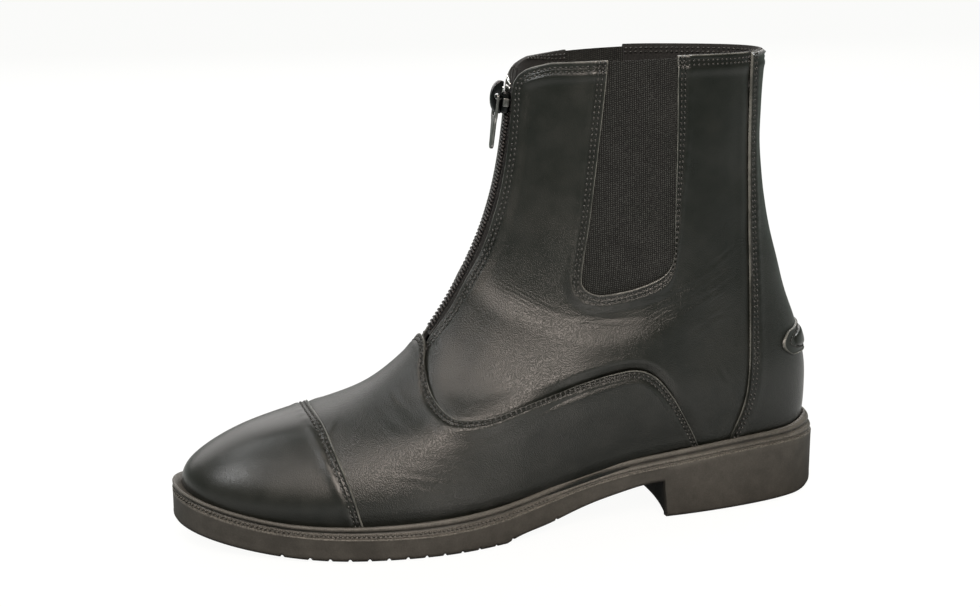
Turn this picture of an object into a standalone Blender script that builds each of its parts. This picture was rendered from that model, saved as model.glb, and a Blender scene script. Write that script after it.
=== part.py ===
"""Jodhpur boot for a left foot: a leather ankle boot with a front zip and elastic side gores.

The boot stands on its sole with the toe along +X, the outer side along +Y and +Z up. Every
form comes from three functions: the outline of the sole, the heights of the sole along its
length, and the surface of the upper, which is read at an angle round the foot and a level
between the sole and the collar. Sizes are in millimetres until a mesh is made.
"""
import bpy
import bmesh
import numpy as np

for old in list(bpy.data.objects):
    bpy.data.objects.remove(old, do_unlink=True)

MM = 0.001

# Sole sizes
SOLE_LENGTH = 280.0
HEEL_RADIUS = 30.5
TOE_RADIUS = 33.5
TOE_OFFSET = -3.6
EDGE_BEVEL = 1.4
TOE_SPRING = 8.2
TOE_SPRING_FROM = 0.76
TOE_SPRING_POWER = 2.2
HEEL_ROLL = 2.6
HEEL_ROLL_LENGTH = 16.0
BREAST_X = 79.8
BREAST_SLANT = 1.5
BREAST_HOLLOW = 5.0
NOTCH_FIRST, NOTCH_LAST, NOTCH_PITCH = 150.2, 248.0, 7.5
NOTCH_WIDTH, NOTCH_DEPTH, NOTCH_REACH = 1.5, 0.9, 9.0

# Upper sizes
WALL = 2.2
GAP = 0.35
OVERLAY = 1.3
WELT_HEIGHT = 4.4
OVERLAY_FOOT = 5.2
SLIT_HALF = 4.4
SLIT_TOP = [(4.4, 177.5), (4.9, 180.8), (6.4, 183.6), (9.5, 186.2), (14.5, 188.3), (19.0, 189.4),
            (19.0, 220.0)]
SLIT_BOTTOM = 80.0
CHAIN_HALF = 2.8
INSOLE_THICK = 4.0
SPUR_ANGLE, SPUR_LEVEL, SPUR_HALF, SPUR_LIFT = 0.58, 4.0, 0.64, 0.30
SPUR_FLANGE, SPUR_LEDGE = 0.6, 1.0

# Zip slider sizes, in the slider's own frame: out from the leather, up along the zip
SLIDER_Z = 174.3
BODY_FACE = 3.2
CROWN_FACE = 7.2
AXIS_OUT = 4.7
CROWN_HALF = 1.5
BAR_HOLE = 1.25
PULL_HALF = 3.1
PULL_TIP_HALF = 2.1
PULL_SHOULDER = -8.8
WINDOW_HALF = 1.95
PULL_LENGTH = 21.5
PULL_THICK = 1.3

# Sole edge: share of the length, half width, offset of the middle to the outer side
SOLE_EDGE = np.array([
    (0.14, 30.5, 0.0),
    (0.28, 32.0, 2.5),
    (0.43, 31.0, 4.7),
    (0.60, 44.0, 4.6),
    (0.70, 47.3, 2.2),
    (0.80, 43.0, 0.8),
    (0.90, 32.5, -0.8),
])

# Sole heights: share of the length, height of the sole's top
SOLE_TOP = np.array([
    (0.00, 25.0),
    (0.12, 25.6),
    (0.25, 23.6),
    (0.36, 20.0),
    (0.48, 14.2),
    (0.60, 11.4),
    (0.75, 10.0),
    (0.88, 11.6),
    (1.00, 19.0),
])

# Arch: place along the foot, height of the sole's underside between heel and ball
ARCH = np.array([
    (82.4, 15.6),
    (91.0, 14.7),
    (100.0, 12.7),
    (112.0, 9.8),
    (124.0, 6.5),
    (134.0, 4.0),
    (152.0, 0.3),
    (156.0, -1.5),
])

# Upper sections, one row a level from the sole to the collar. Each is a closed loop between
# a back point and a front point, with half widths at five shares of the way forward.
SHARES = np.array([0.12, 0.30, 0.50, 0.70, 0.87])
LEVELS = np.array([
    # back x and z, front x and z, back radius, half widths, front radius, share of sole's bend
    (7.0, 25.9, 273.5, 19.3, 26.5, 25.5, 27.5, 30.0, 41.5, 32.0, 29.0, 1.00),
    (6.0, 36.0, 274.0, 25.5, 27.0, 27.5, 29.5, 32.5, 43.0, 33.0, 29.0, 1.00),
    (5.5, 47.0, 268.5, 33.0, 27.0, 28.5, 31.0, 34.0, 41.0, 29.0, 24.0, 1.00),
    (6.2, 58.0, 252.0, 42.0, 26.5, 28.5, 32.0, 35.0, 36.5, 23.5, 18.0, 0.95),
    (9.0, 68.5, 228.5, 48.0, 26.0, 27.5, 32.0, 34.5, 32.5, 21.0, 14.5, 0.80),
    (12.5, 78.5, 203.0, 56.2, 25.0, 26.0, 31.5, 33.5, 30.5, 20.5, 13.5, 0.58),
    (16.8, 90.0, 182.5, 70.5, 24.0, 24.5, 31.0, 32.5, 28.5, 19.5, 13.0, 0.32),
    (21.2, 104.0, 167.3, 89.5, 23.0, 23.0, 30.5, 31.5, 27.0, 18.0, 12.0, 0.12),
    (25.8, 121.0, 155.0, 111.5, 22.5, 22.0, 29.5, 31.0, 26.5, 17.5, 11.0, 0.02),
    (29.6, 142.0, 146.3, 135.0, 22.0, 21.5, 29.0, 31.0, 26.5, 17.5, 11.0, 0.00),
    (31.0, 166.0, 141.4, 161.0, 22.0, 21.5, 29.0, 31.0, 27.0, 18.0, 11.0, 0.00),
    (29.6, 192.0, 138.4, 188.5, 22.0, 21.5, 29.0, 31.2, 27.5, 18.0, 11.0, 0.00),
])
TOP_LEVEL = len(LEVELS) - 1
COLUMNS = 56
ROWS = np.array([0, 0.5, 1, 1.5, 2.2, 3, 3.8, 4.6, 5.4, 6.2, 7, 8.2, 9.6, 11.0])

# Seams in side view: place along the foot, height
GORE_SEAM = [(107, 200), (107, 188), (109, 166), (113, 129), (116.6, 107), (116.4, 100),
             (110.5, 96.6), (100, 97.6), (90, 100), (82, 103.8), (78.4, 110), (78, 121),
             (78, 158), (78.8, 188), (78.8, 200)]
VAMP_SEAM = [(175.5, 95), (176.2, 78), (179, 68), (179.2, 58.5), (175.8, 52.8), (169.5, 50.8),
             (156.5, 52), (138, 57), (120, 62), (104.5, 65), (95, 65.2), (87, 61.4), (79, 52.3),
             (70, 37.9), (64.5, 28)]
CAP_SEAM = [(210.5, 12), (215.4, 28), (218.9, 38), (221.5, 46), (224, 51), (226.5, 60)]
STRIP_SEAM = [(43, 200), (42.6, 186), (41.6, 155), (41.3, 124), (41.5, 91), (42.4, 59),
              (44.6, 44), (51, 28)]


# Shape functions
def spline(knots, values, at):
    """Natural cubic spline through the values at the knots, read at each place in at."""
    knots = np.asarray(knots, float)
    values = np.asarray(values, float)
    count = len(knots)
    step = np.diff(knots)
    system = np.eye(count)
    right = np.zeros_like(values)
    for i in range(1, count - 1):
        system[i, i - 1:i + 2] = step[i - 1], 2 * (step[i - 1] + step[i]), step[i]
        right[i] = 6 * ((values[i + 1] - values[i]) / step[i] - (values[i] - values[i - 1]) / step[i - 1])
    curve = np.linalg.solve(system, right)
    at = np.asarray(at, float)
    i = np.clip(np.searchsorted(knots, at) - 1, 0, count - 2)
    low, high, width = at - knots[i], knots[i + 1] - at, step[i]
    if values.ndim > 1:
        low, high, width = low[..., None], high[..., None], width[..., None]
    bent = (curve[i] * high ** 3 + curve[i + 1] * low ** 3) / (6 * width)
    return (bent + (values[i] / width - curve[i] * width / 6) * high
            + (values[i + 1] / width - curve[i + 1] * width / 6) * low)


def sole_top(x):
    """Height of the sole's top at x."""
    return spline(SOLE_TOP[:, 0], SOLE_TOP[:, 1], np.clip(x / SOLE_LENGTH, 0, 1))


def tread_height(x):
    """Height of the tread off the floor: flat, with a spring at the toe and a rolled heel back."""
    share = np.clip((x / SOLE_LENGTH - TOE_SPRING_FROM) / (1 - TOE_SPRING_FROM), 0, 1)
    spring = TOE_SPRING * share ** TOE_SPRING_POWER
    return spring + HEEL_ROLL * np.clip(1 - x / HEEL_ROLL_LENGTH, 0, 1) ** 2


def bend(x):
    """Offset of the foot's middle line to the outer side at x."""
    shares = np.concatenate([[0], SOLE_EDGE[:, 0], [1]])
    offsets = np.concatenate([[0], SOLE_EDGE[:, 2], [TOE_OFFSET]])
    return spline(shares, offsets, np.clip(x / SOLE_LENGTH, 0, 1))


def loop_half_width(angle, length, shares, widths, back_radius, front_radius):
    """Half width of a loop: half the length times sin(angle), times a smooth fullness."""
    length = np.asarray(length, float)
    ends = np.concatenate([[0], shares, [1]])
    fullness = np.concatenate([
        np.sqrt(2 * back_radius / length)[..., None],
        widths / (length[..., None] * np.sqrt(shares * (1 - shares))),
        np.sqrt(2 * front_radius / length)[..., None]], -1)
    weights = spline(np.arccos(1 - 2 * ends), np.eye(len(ends)), angle)
    return length / 2 * np.sin(angle) * (weights * fullness).sum(-1)


def fold(angle):
    """Angle brought to the outer half, with the side it came from: 1 outer, -1 inner."""
    angle = np.mod(np.asarray(angle, float), 2 * np.pi)
    inner = angle > np.pi
    return np.where(inner, 2 * np.pi - angle, angle), np.where(inner, -1.0, 1.0)


def sole_edge(angle, inset=0.0):
    """Point of the sole's outline at an angle, moved square to the outline by the inset."""
    def place(a):
        half, side = fold(a)
        x = SOLE_LENGTH * (1 - np.cos(half)) / 2
        width = loop_half_width(half, np.full_like(half, SOLE_LENGTH), SOLE_EDGE[:, 0],
                                SOLE_EDGE[:, 1], HEEL_RADIUS, TOE_RADIUS)
        return np.stack([x, bend(x) + side * width], -1)
    along = place(angle + 1e-4) - place(angle - 1e-4)
    along /= np.linalg.norm(along, axis=-1, keepdims=True)
    inward = np.stack([along[..., 1], -along[..., 0]], -1)
    return place(angle) + inset * inward


def upper_point(angle, level):
    """Point of the upper's outer face: angle 0 at the back and pi at the front, level from
    0 at the sole to TOP_LEVEL at the collar."""
    angle, level = np.broadcast_arrays(np.asarray(angle, float), np.asarray(level, float))
    half, side = fold(angle)
    row = spline(np.arange(TOP_LEVEL + 1), LEVELS, level)
    back_x, back_z, front_x, front_z, back_radius = (row[..., i] for i in range(5))
    front_radius, share_of_bend = row[..., 10], row[..., 11]
    share = (1 - np.cos(half)) / 2
    length = np.hypot(front_x - back_x, front_z - back_z)
    x = back_x + (front_x - back_x) * share
    width = loop_half_width(half, length, SHARES, row[..., 5:10], back_radius, front_radius)
    first = LEVELS[0]
    chord = first[1] + (first[3] - first[1]) * (x - first[0]) / (first[2] - first[0])
    seat = np.clip(1 - level / 4, 0, 1) ** 2
    z = back_z + (front_z - back_z) * share + seat * (sole_top(x) + 0.3 - chord)
    return np.stack([x, bend(x) * share_of_bend + side * width, z], -1)


def upper_offset(angle, level, out):
    """Point of the upper's face moved out along its normal."""
    tiny = 1e-3
    round_foot = upper_point(angle + tiny, level) - upper_point(angle - tiny, level)
    upward = upper_point(angle, level + tiny) - upper_point(angle, level - tiny)
    normal = np.cross(upward, round_foot)
    normal /= np.linalg.norm(normal, axis=-1, keepdims=True)
    return upper_point(angle, level) + np.asarray(out, float)[..., None] * normal


def smooth_line(points, per_span=4):
    """Rounded line through the points (Catmull-Rom)."""
    p = np.asarray(points, float)
    p = np.vstack([2 * p[0] - p[1], p, 2 * p[-1] - p[-2]])
    t = (np.arange(per_span) / per_span)[:, None]
    spans = [0.5 * (2 * b + (c - a) * t + (2 * a - 5 * b + 4 * c - d) * t ** 2
                    + (3 * b - a - 3 * c + d) * t ** 3)
             for a, b, c, d in zip(p[:-3], p[1:-2], p[2:-1], p[3:])]
    return np.vstack(spans + [p[-2:-1]])


def shift_line(line, distance):
    """Line moved to the right of its own direction by a distance."""
    along = np.gradient(line, axis=0)
    along /= np.linalg.norm(along, axis=1, keepdims=True)
    return line + distance * np.stack([along[:, 1], -along[:, 0]], -1)


# Mesh helpers
EDGE_NOW = sole_edge(np.linspace(0, 2 * np.pi, 721))
CENTRE = np.array([SOLE_LENGTH / 2, (EDGE_NOW[:, 1].max() + EDGE_NOW[:, 1].min()) / 2, 0.0])

part_group = bpy.data.collections.new("jodhpur_boot")
cutter_group = bpy.data.collections.new("cutters")
bpy.context.scene.collection.children.link(part_group)
bpy.context.scene.collection.children.link(cutter_group)


def look(name, colour, roughness, metallic=0.0):
    """Principled material with a plain colour."""
    material = bpy.data.materials.new(name)
    material.use_nodes = True
    shader = material.node_tree.nodes["Principled BSDF"]
    shader.inputs["Base Color"].default_value = (*colour, 1.0)
    shader.inputs["Roughness"].default_value = roughness
    shader.inputs["Metallic"].default_value = metallic
    return material


def solid(name, points, faces, material=None, origin=None):
    """Closed object from points in millimetres; without a material it is a cutter."""
    origin = CENTRE if origin is None else np.asarray(origin, float)
    mesh = bpy.data.meshes.new(name)
    mesh.from_pydata(((np.asarray(points, float) - origin) * MM).tolist(), [], faces)
    shape = bmesh.new()
    shape.from_mesh(mesh)
    bmesh.ops.remove_doubles(shape, verts=shape.verts, dist=1e-7)
    bmesh.ops.recalc_face_normals(shape, faces=shape.faces)
    shape.to_mesh(mesh)
    shape.free()
    thing = bpy.data.objects.new(name, mesh)
    thing.location = ((origin - CENTRE) * MM).tolist()
    if material is None:
        thing.hide_render = True
        thing.display_type = 'WIRE'
        cutter_group.objects.link(thing)
    else:
        mesh.materials.append(material)
        part_group.objects.link(thing)
    return thing


def combine(thing, operation, other):
    """Boolean of one object with a cutter, left live."""
    step = thing.modifiers.new(operation.lower(), 'BOOLEAN')
    step.operation = operation
    step.solver = 'EXACT'
    step.object = other


def sheet(count, rows, closed, start, flip):
    """Triangles of a grid of points with rows running fastest; closed joins last to first."""
    i = np.arange(count if closed else count - 1)
    j = np.arange(rows - 1)
    i, j = (a.ravel() for a in np.meshgrid(i, j, indexing="ij"))
    n = (i + 1) % count
    a, b, c, d = i * rows + j, n * rows + j, n * rows + j + 1, i * rows + j + 1
    faces = np.vstack([np.stack([a, b, c], -1), np.stack([a, c, d], -1)]) + start
    return (faces[:, ::-1] if flip else faces).tolist()


def shell(name, outer, inner, closed, material=None):
    """Solid between two grids of points, closed round their rims."""
    count, rows = outer.shape[:2]
    half = count * rows
    faces = sheet(count, rows, closed, 0, False) + sheet(count, rows, closed, half, True)
    rims = [[(i * rows + j) for i in range(count)] + ([j] if closed else []) for j in (0, rows - 1)]
    if not closed:
        rims += [[i * rows + j for j in range(rows)] for i in (0, count - 1)]
    for rim in rims:
        faces += [[a, b, b + half, a + half] for a, b in zip(rim[:-1], rim[1:])]
    return solid(name, np.vstack([outer.reshape(-1, 3), inner.reshape(-1, 3)]), faces, material)


def upper_shell(name, angles, rows, inner, outer, closed=False, material=None):
    """Solid between two offsets of the upper's face."""
    angle, level = np.meshgrid(angles, rows, indexing="ij")
    near = upper_offset(angle, level, np.full(angle.shape, inner))
    far = upper_offset(angle, level, np.full(angle.shape, outer))
    return shell(name, far, near, closed, material)


def prism(name, outline, low, high, axis="y", material=None, frame=None, origin=None):
    """Solid from an outline in side view, pushed from low to high along the third axis.

    With a frame (point, out, up) the outline is read in that frame instead."""
    outline = np.asarray(outline, float)
    n = len(outline)
    low = np.broadcast_to(np.asarray(low, float), n)
    high = np.broadcast_to(np.asarray(high, float), n)
    sides = [np.stack([outline[:, 0], depth, outline[:, 1]], -1) for depth in (low, high)]
    if axis == "out":
        sides = [np.stack([depth, outline[:, 0], outline[:, 1]], -1) for depth in (low, high)]
    points = np.vstack(sides)
    if frame is not None:
        place, out, up = frame
        points = place + points[:, :1] * out + points[:, 1:2] * np.array([0, 1.0, 0]) + points[:, 2:] * up
    faces = [list(range(n)), list(range(2 * n - 1, n - 1, -1))]
    faces += [[i, (i + 1) % n, n + (i + 1) % n, n + i] for i in range(n)]
    return solid(name, points, faces, material, origin)


def box(name, x, y, z):
    """Box cutter between two places on each axis."""
    outline = [(x[0], z[0]), (x[1], z[0]), (x[1], z[1]), (x[0], z[1])]
    return prism(name, outline, y[0], y[1])


# Materials
leather = look("black_leather", (0.020, 0.020, 0.018), 0.42)
leather_cap = look("black_leather_cap", (0.022, 0.021, 0.019), 0.36)
elastic = look("black_elastic", (0.012, 0.012, 0.012), 0.85)
rubber = look("brown_black_rubber", (0.045, 0.041, 0.037), 0.72)
lining = look("grey_lining", (0.060, 0.058, 0.055), 0.85)
tape = look("black_tape", (0.015, 0.015, 0.015), 0.80)
metal = look("dark_metal", (0.080, 0.080, 0.085), 0.38, 0.9)

# Sole unit: rings from the top edge down the wall to the tread, then the two flat faces
angles = np.linspace(0, 2 * np.pi, COLUMNS + 24, endpoint=False)
count = len(angles)
rings = []
for inset, share in ((0.0, 0.0), (0.0, 1.0), (EDGE_BEVEL, 1.0)):
    edge = sole_edge(angles, inset)
    x = edge[:, 0]
    wall_foot = tread_height(x) + (EDGE_BEVEL if inset == 0 else 0)
    z = sole_top(x) * (1 - share) + wall_foot * share
    rings.append(np.column_stack([edge, z]))
points = np.vstack(rings)
faces = []
for ring in range(2):
    for i in range(count):
        n = (i + 1) % count
        faces.append([ring * count + i, ring * count + n, (ring + 1) * count + n])
        faces.append([ring * count + i, (ring + 1) * count + n, (ring + 1) * count + i])
for start in (0, 2 * count):
    for i in range(count // 2):
        a, b, c, d = i, i + 1, count - i - 1, (count - i) % count
        faces.append([start + a, start + b, start + c])
        if a != d:
            faces.append([start + a, start + c, start + d])
outsole = solid("outsole", points, [f for f in faces if len(set(f)) == 3], rubber)

# Waist: the hollow between heel and ball, with a heel breast bowed in plan
across = np.linspace(-60, 60, 13)
arch_line = spline(ARCH[:, 0], ARCH[:, 1], np.linspace(ARCH[0, 0], ARCH[-1, 0], 15))
arch_line = np.column_stack([np.linspace(ARCH[0, 0], ARCH[-1, 0], 15), arch_line])
profile = np.vstack([[(BREAST_X, -3.0), (BREAST_X + BREAST_SLANT, ARCH[0, 1] - 0.4)],
                     arch_line, [(ARCH[-1, 0], -3.0)]])
hollow = BREAST_HOLLOW * np.clip(1 - ((across + 5.0) / 37.0) ** 2, 0, 1)
slices = np.array([[(x - (h if k < 3 else 0), y, z) for k, (x, z) in enumerate(profile)]
                   for y, h in zip(across, hollow)])
rows = slices.shape[1]
faces = [[a * rows + b, (a + 1) * rows + b, (a + 1) * rows + (b + 1) % rows, a * rows + (b + 1) % rows]
         for a in range(len(across) - 1) for b in range(rows)]
faces += [list(range(rows)), list(range((len(across) - 1) * rows, len(across) * rows))]
combine(outsole, 'DIFFERENCE', solid("waist_cutter", slices.reshape(-1, 3), faces))

# Tread notches along both edges of the forefoot
points, faces = [], []
for x in np.arange(NOTCH_FIRST, NOTCH_LAST, NOTCH_PITCH):
    half = np.arccos(1 - 2 * x / SOLE_LENGTH)
    for side in (half, 2 * np.pi - half):
        edge_y = float(sole_edge(np.array([side]))[0, 1])
        sign = 1 if edge_y > 0 else -1
        low, high = sorted((edge_y - sign * NOTCH_REACH, edge_y + sign * 6.0))
        top = float(tread_height(np.array([x]))[0]) + NOTCH_DEPTH
        start = len(points)
        points += [(x + dx, y, z) for dx in (-NOTCH_WIDTH / 2, NOTCH_WIDTH / 2)
                   for y in (low, high) for z in (-3.0, top)]
        faces += [[start + k for k in face] for face in (
            (0, 1, 3, 2), (4, 6, 7, 5), (0, 4, 5, 1), (2, 3, 7, 6), (0, 2, 6, 4), (1, 5, 7, 3))]
combine(outsole, 'DIFFERENCE', solid("notch_cutters", points, faces))

# Upper: one hollow wall, open at the collar and underneath
angles = np.linspace(0, 2 * np.pi, COLUMNS, endpoint=False)
upper = upper_shell("upper", angles, ROWS, -WALL, 0.0, True, leather)
gore_line = smooth_line(GORE_SEAM, 3)
for side, low, high in (("outer", 8.0, 70.0), ("inner", -70.0, -8.0)):
    combine(upper, 'DIFFERENCE', prism("gore_opening_" + side, gore_line, low, high))
half_slit = [(SLIT_HALF, SLIT_BOTTOM)] + SLIT_TOP
slit = half_slit + [(-y, z) for y, z in half_slit[::-1]]
combine(upper, 'DIFFERENCE', prism("zip_opening", slit, 90, 230, "out"))

# Welt: a beaded strip on the sole's edge, laid against the foot of the upper
foot = upper_point(angles, 0.0)
next_row = upper_point(angles, ROWS[1])
rise = (WELT_HEIGHT - 0.3) / (next_row[:, 2] - foot[:, 2])
head = foot + rise[:, None] * (next_row - foot)
out = upper_offset(angles, 0.25, np.full(COLUMNS, GAP)) - upper_point(angles, 0.25)
out[:, 2] = 0
ring = []
for inset, height in ((0.5, 0.3), (0.5, 1.2), (1.2, 1.5), (1.2, 2.2), (0.2, 2.7), (0.0, 3.5),
                      (0.7, 4.3), (1.9, 4.7)):
    edge = sole_edge(angles, inset)
    ring.append(np.column_stack([edge, sole_top(edge[:, 0]) + height]))
ring += [head + out, foot + out]
strip = np.stack(ring, 1)
rows = strip.shape[1]
faces = []
for i in range(COLUMNS):
    for j in range(rows):
        a, b = i * rows + j, ((i + 1) % COLUMNS) * rows + j
        c, d = ((i + 1) % COLUMNS) * rows + (j + 1) % rows, i * rows + (j + 1) % rows
        faces += [[a, b, c], [a, c, d]]
solid("welt", strip.reshape(-1, 3), faces, rubber)

# Insole: a flat bed inside the wall, on the sole
bed = upper_offset(angles, 0.0, np.full(COLUMNS, -WALL - GAP))
low = np.column_stack([bed[:, :2], sole_top(bed[:, 0]) + 0.3])
high = low + np.array([0, 0, INSOLE_THICK])
faces = [[i, (i + 1) % COLUMNS, COLUMNS + (i + 1) % COLUMNS] for i in range(COLUMNS)]
faces += [[i, COLUMNS + (i + 1) % COLUMNS, COLUMNS + i] for i in range(COLUMNS)]
for start in (0, COLUMNS):
    for i in range(COLUMNS // 2):
        a, b, c, d = i, i + 1, COLUMNS - i - 1, (COLUMNS - i) % COLUMNS
        faces += [[start + a, start + b, start + c], [start + a, start + c, start + d]]
solid("insole", np.vstack([low, high]), [f for f in faces if len(set(f)) == 3], lining)

# Overlays: the upper's own face raised by a leather's thickness and cut to each seam
foot_x = np.linspace(-20, 300, 81)
foot_line = np.column_stack([foot_x, sole_top(foot_x) + OVERLAY_FOOT])
step = 2 * np.pi / COLUMNS


def columns_between(first, last):
    """Angles of the upper's own columns from first to last."""
    return step * np.arange(np.floor(first / step), np.ceil(last / step) + 1)


def overlay(name, first, last, last_row, outline, thickness, material):
    """Raised panel from angle first to angle last, trimmed to an outline in side view."""
    columns = columns_between(first, last)
    panel = upper_shell(name, columns, ROWS[ROWS <= last_row], 0.3, 0.3 + thickness, False, material)
    combine(panel, 'INTERSECT', prism(name + "_outline", outline, -80, 80))
    return panel


cap_line = smooth_line(CAP_SEAM, 3)
vamp_line = smooth_line(VAMP_SEAM, 3)
toe_part = foot_line[(foot_line[:, 0] > cap_line[0, 0] + 2)]
cap_foot = np.array([[cap_line[0, 0], float(sole_top(cap_line[0, 0])) + OVERLAY_FOOT]])
keep = cap_line[:, 1] > cap_foot[0, 1] + 1
cap_outline = np.vstack([toe_part[::-1], cap_foot + (0.9, 0), cap_line[keep], [(228, 90), (300, 90)]])
overlay("toe_cap", 2.0, 2 * np.pi - 2.0, 4.8, cap_outline, OVERLAY + 0.2, leather_cap)

front = shift_line(cap_line, -0.5)
keep = front[:, 1] > cap_foot[0, 1] + 1
wing_end = vamp_line[vamp_line[:, 1] > sole_top(vamp_line[:, 0]) + OVERLAY_FOOT + 1]
under = foot_line[(foot_line[:, 0] > wing_end[-1, 0] + 1) & (foot_line[:, 0] < front[keep][0, 0] - 1)]
vamp_outline = np.vstack([wing_end, under, front[keep], [(226, 95)]])
overlay("vamp", 0.9, 2 * np.pi - 0.9, 7, vamp_outline, OVERLAY, leather)

strip_line = smooth_line(STRIP_SEAM, 3)
strip_line = strip_line[strip_line[:, 1] > sole_top(strip_line[:, 0]) + OVERLAY_FOOT + 1]
under = foot_line[foot_line[:, 0] < strip_line[-1, 0] - 1][::-1]
strip_outline = np.vstack([strip_line, under, [(-20, 200)]])
overlay("back_strip", -0.9, 0.9, TOP_LEVEL, strip_outline, OVERLAY, leather)

# Spur rest: a pad round the back of the heel, on the back strip, with a ledge across it
wide, tall = np.meshgrid(np.linspace(-1, 1, 15), np.linspace(-1, 1, 9), indexing="ij")
across = wide * np.sqrt(1 - tall ** 2 / 2)
share = tall * np.sqrt(1 - wide ** 2 / 2)
angle = SPUR_ANGLE * across
level = SPUR_LEVEL + SPUR_HALF * share + SPUR_LIFT * across ** 2
ledge = np.exp(-((share + 0.25) / 0.52) ** 4) * np.clip(1 - across ** 4, 0, 1)
pad = 0.3 + OVERLAY + GAP
raised = pad + SPUR_FLANGE + SPUR_LEDGE * ledge
shell("spur_rest", upper_offset(angle, level, raised), upper_offset(angle, level, np.full(angle.shape, pad)),
      False, leather_cap)

# Gores: elastic panels set in the wall's openings
gore_fill = shift_line(gore_line, GAP)
gore_rows = np.append(ROWS[(ROWS > 6) & (ROWS < TOP_LEVEL)], TOP_LEVEL - 0.05)
for side, middle, low, high in (("outer", 1.68, 8.0, 70.0), ("inner", 2 * np.pi - 1.68, -70.0, -8.0)):
    panel = upper_shell("gore_" + side, columns_between(middle - 0.45, middle + 0.45), gore_rows,
                        -1.9, -0.5, False, elastic)
    combine(panel, 'INTERSECT', prism("gore_fill_" + side, gore_fill, low, high))

# Zip: a tape across the slit with the closed chain on it, up to the slider
zip_angles = np.pi + np.linspace(-0.6, 0.6, 9)
zip_rows = np.linspace(6.2, TOP_LEVEL - 0.1, 18)
zip_tape = upper_shell("zip_tape", zip_angles, zip_rows, -1.9, -0.7, False, tape)
combine(zip_tape, 'INTERSECT', box("tape_trim", (90, 230), (-SLIT_HALF + GAP, SLIT_HALF - GAP),
                                   (SLIT_BOTTOM + GAP, 186.5)))
zip_chain = upper_shell("zip_chain", zip_angles, zip_rows, -0.4, 0.7, False, metal)
combine(zip_chain, 'INTERSECT', box("chain_trim", (90, 230), (-CHAIN_HALF, CHAIN_HALF),
                                    (SLIT_BOTTOM + 1.0, SLIDER_Z - 7.4)))

# Slider: body with a crown, and the pull tab that hangs from a bar in the crown
levels = np.linspace(9, TOP_LEVEL, 400)
front_line = upper_point(np.pi, levels)
k = int(np.argmin(np.abs(front_line[:, 2] - SLIDER_Z)))
up = front_line[k + 4] - front_line[k - 4]
up /= np.linalg.norm(up)
out = np.cross(np.array([0, 1.0, 0]), up)
slider_frame = (front_line[k], out, up)
body = [(-0.3, -5.6), (0.6, -6.6), (2.6, -6.6), (BODY_FACE, -5.6), (BODY_FACE, 5.2), (2.6, 6.2),
        (0.6, 6.2), (-0.3, 5.4)]
slider = prism("zip_slider", body, -4.0, 4.0, material=metal, frame=slider_frame)
turn = np.linspace(-np.pi / 2, np.pi / 2, 15)
dome = np.column_stack([AXIS_OUT + (CROWN_FACE - AXIS_OUT) * np.cos(turn), 6.3 * np.sin(turn)])
crown = np.vstack([[(BODY_FACE - 0.8, -5.0), (BODY_FACE, -6.3)], dome,
                   [(BODY_FACE, 6.3), (BODY_FACE - 0.8, 5.0)]])
combine(slider, 'UNION', prism("crown_form", crown, -CROWN_HALF, CROWN_HALF, frame=slider_frame))
ring_turn = np.linspace(0, 2 * np.pi, 20, endpoint=False)
hole = np.column_stack([AXIS_OUT + BAR_HOLE * np.cos(ring_turn), BAR_HOLE * np.sin(ring_turn)])
combine(slider, 'DIFFERENCE', prism("bar_hole", hole, -10, 10, frame=slider_frame))

hinge = front_line[k] + AXIS_OUT * out
tip = np.linspace(0, np.pi, 9)
tab = np.vstack([[(-PULL_HALF, PULL_SHOULDER), (-PULL_HALF, 0.6)],
                 [(PULL_HALF, 0.6), (PULL_HALF, PULL_SHOULDER)],
                 np.column_stack([PULL_TIP_HALF * np.cos(tip), 2.2 - PULL_LENGTH - 2.2 * np.sin(tip)])])
pull_frame = (hinge, out, up)
pull = prism("zip_pull", tab, -PULL_THICK / 2, PULL_THICK / 2, "out", metal, pull_frame, hinge)
window = [(-WINDOW_HALF, -0.6), (WINDOW_HALF, -0.6), (WINDOW_HALF, -7.8), (-WINDOW_HALF, -7.8)]
combine(pull, 'DIFFERENCE', prism("pull_window", window, -5, 5, "out", None, pull_frame))
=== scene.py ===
# %% [markdown]
# # A jodhpur boot with a front zip
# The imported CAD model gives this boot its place, its size and its one moving piece, the zip's
# pull tab. This lesson dresses it: every plain solid is replaced by a surface that shows how the
# real boot is cut, folded, stitched and moulded. Every surface is worked out as arrays from the
# same few tables, so that neighbouring pieces always meet.

# %% Load the frame
import bpy
import bmesh
import numpy as np
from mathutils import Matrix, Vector


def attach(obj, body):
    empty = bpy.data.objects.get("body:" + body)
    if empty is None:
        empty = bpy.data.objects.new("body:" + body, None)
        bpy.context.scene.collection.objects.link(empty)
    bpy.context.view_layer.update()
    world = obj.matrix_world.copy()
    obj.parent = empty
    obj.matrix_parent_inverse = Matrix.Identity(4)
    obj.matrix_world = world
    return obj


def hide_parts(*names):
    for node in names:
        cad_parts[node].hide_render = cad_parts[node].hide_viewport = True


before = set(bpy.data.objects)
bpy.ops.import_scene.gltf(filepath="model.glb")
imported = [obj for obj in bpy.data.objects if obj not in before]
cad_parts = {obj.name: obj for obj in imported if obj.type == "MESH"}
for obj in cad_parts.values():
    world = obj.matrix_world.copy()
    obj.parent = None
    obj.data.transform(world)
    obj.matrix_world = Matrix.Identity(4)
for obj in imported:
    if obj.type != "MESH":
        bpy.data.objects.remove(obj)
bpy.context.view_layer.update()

# %% [markdown]
# ## Camera
# The boot is seen from its outer side, a little from the toe's end and a little from above. A
# camera could be placed by eye, but here it is worked out: a target on the boot, two angles and
# a distance, and a lens long enough to keep the toe from swelling.

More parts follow.
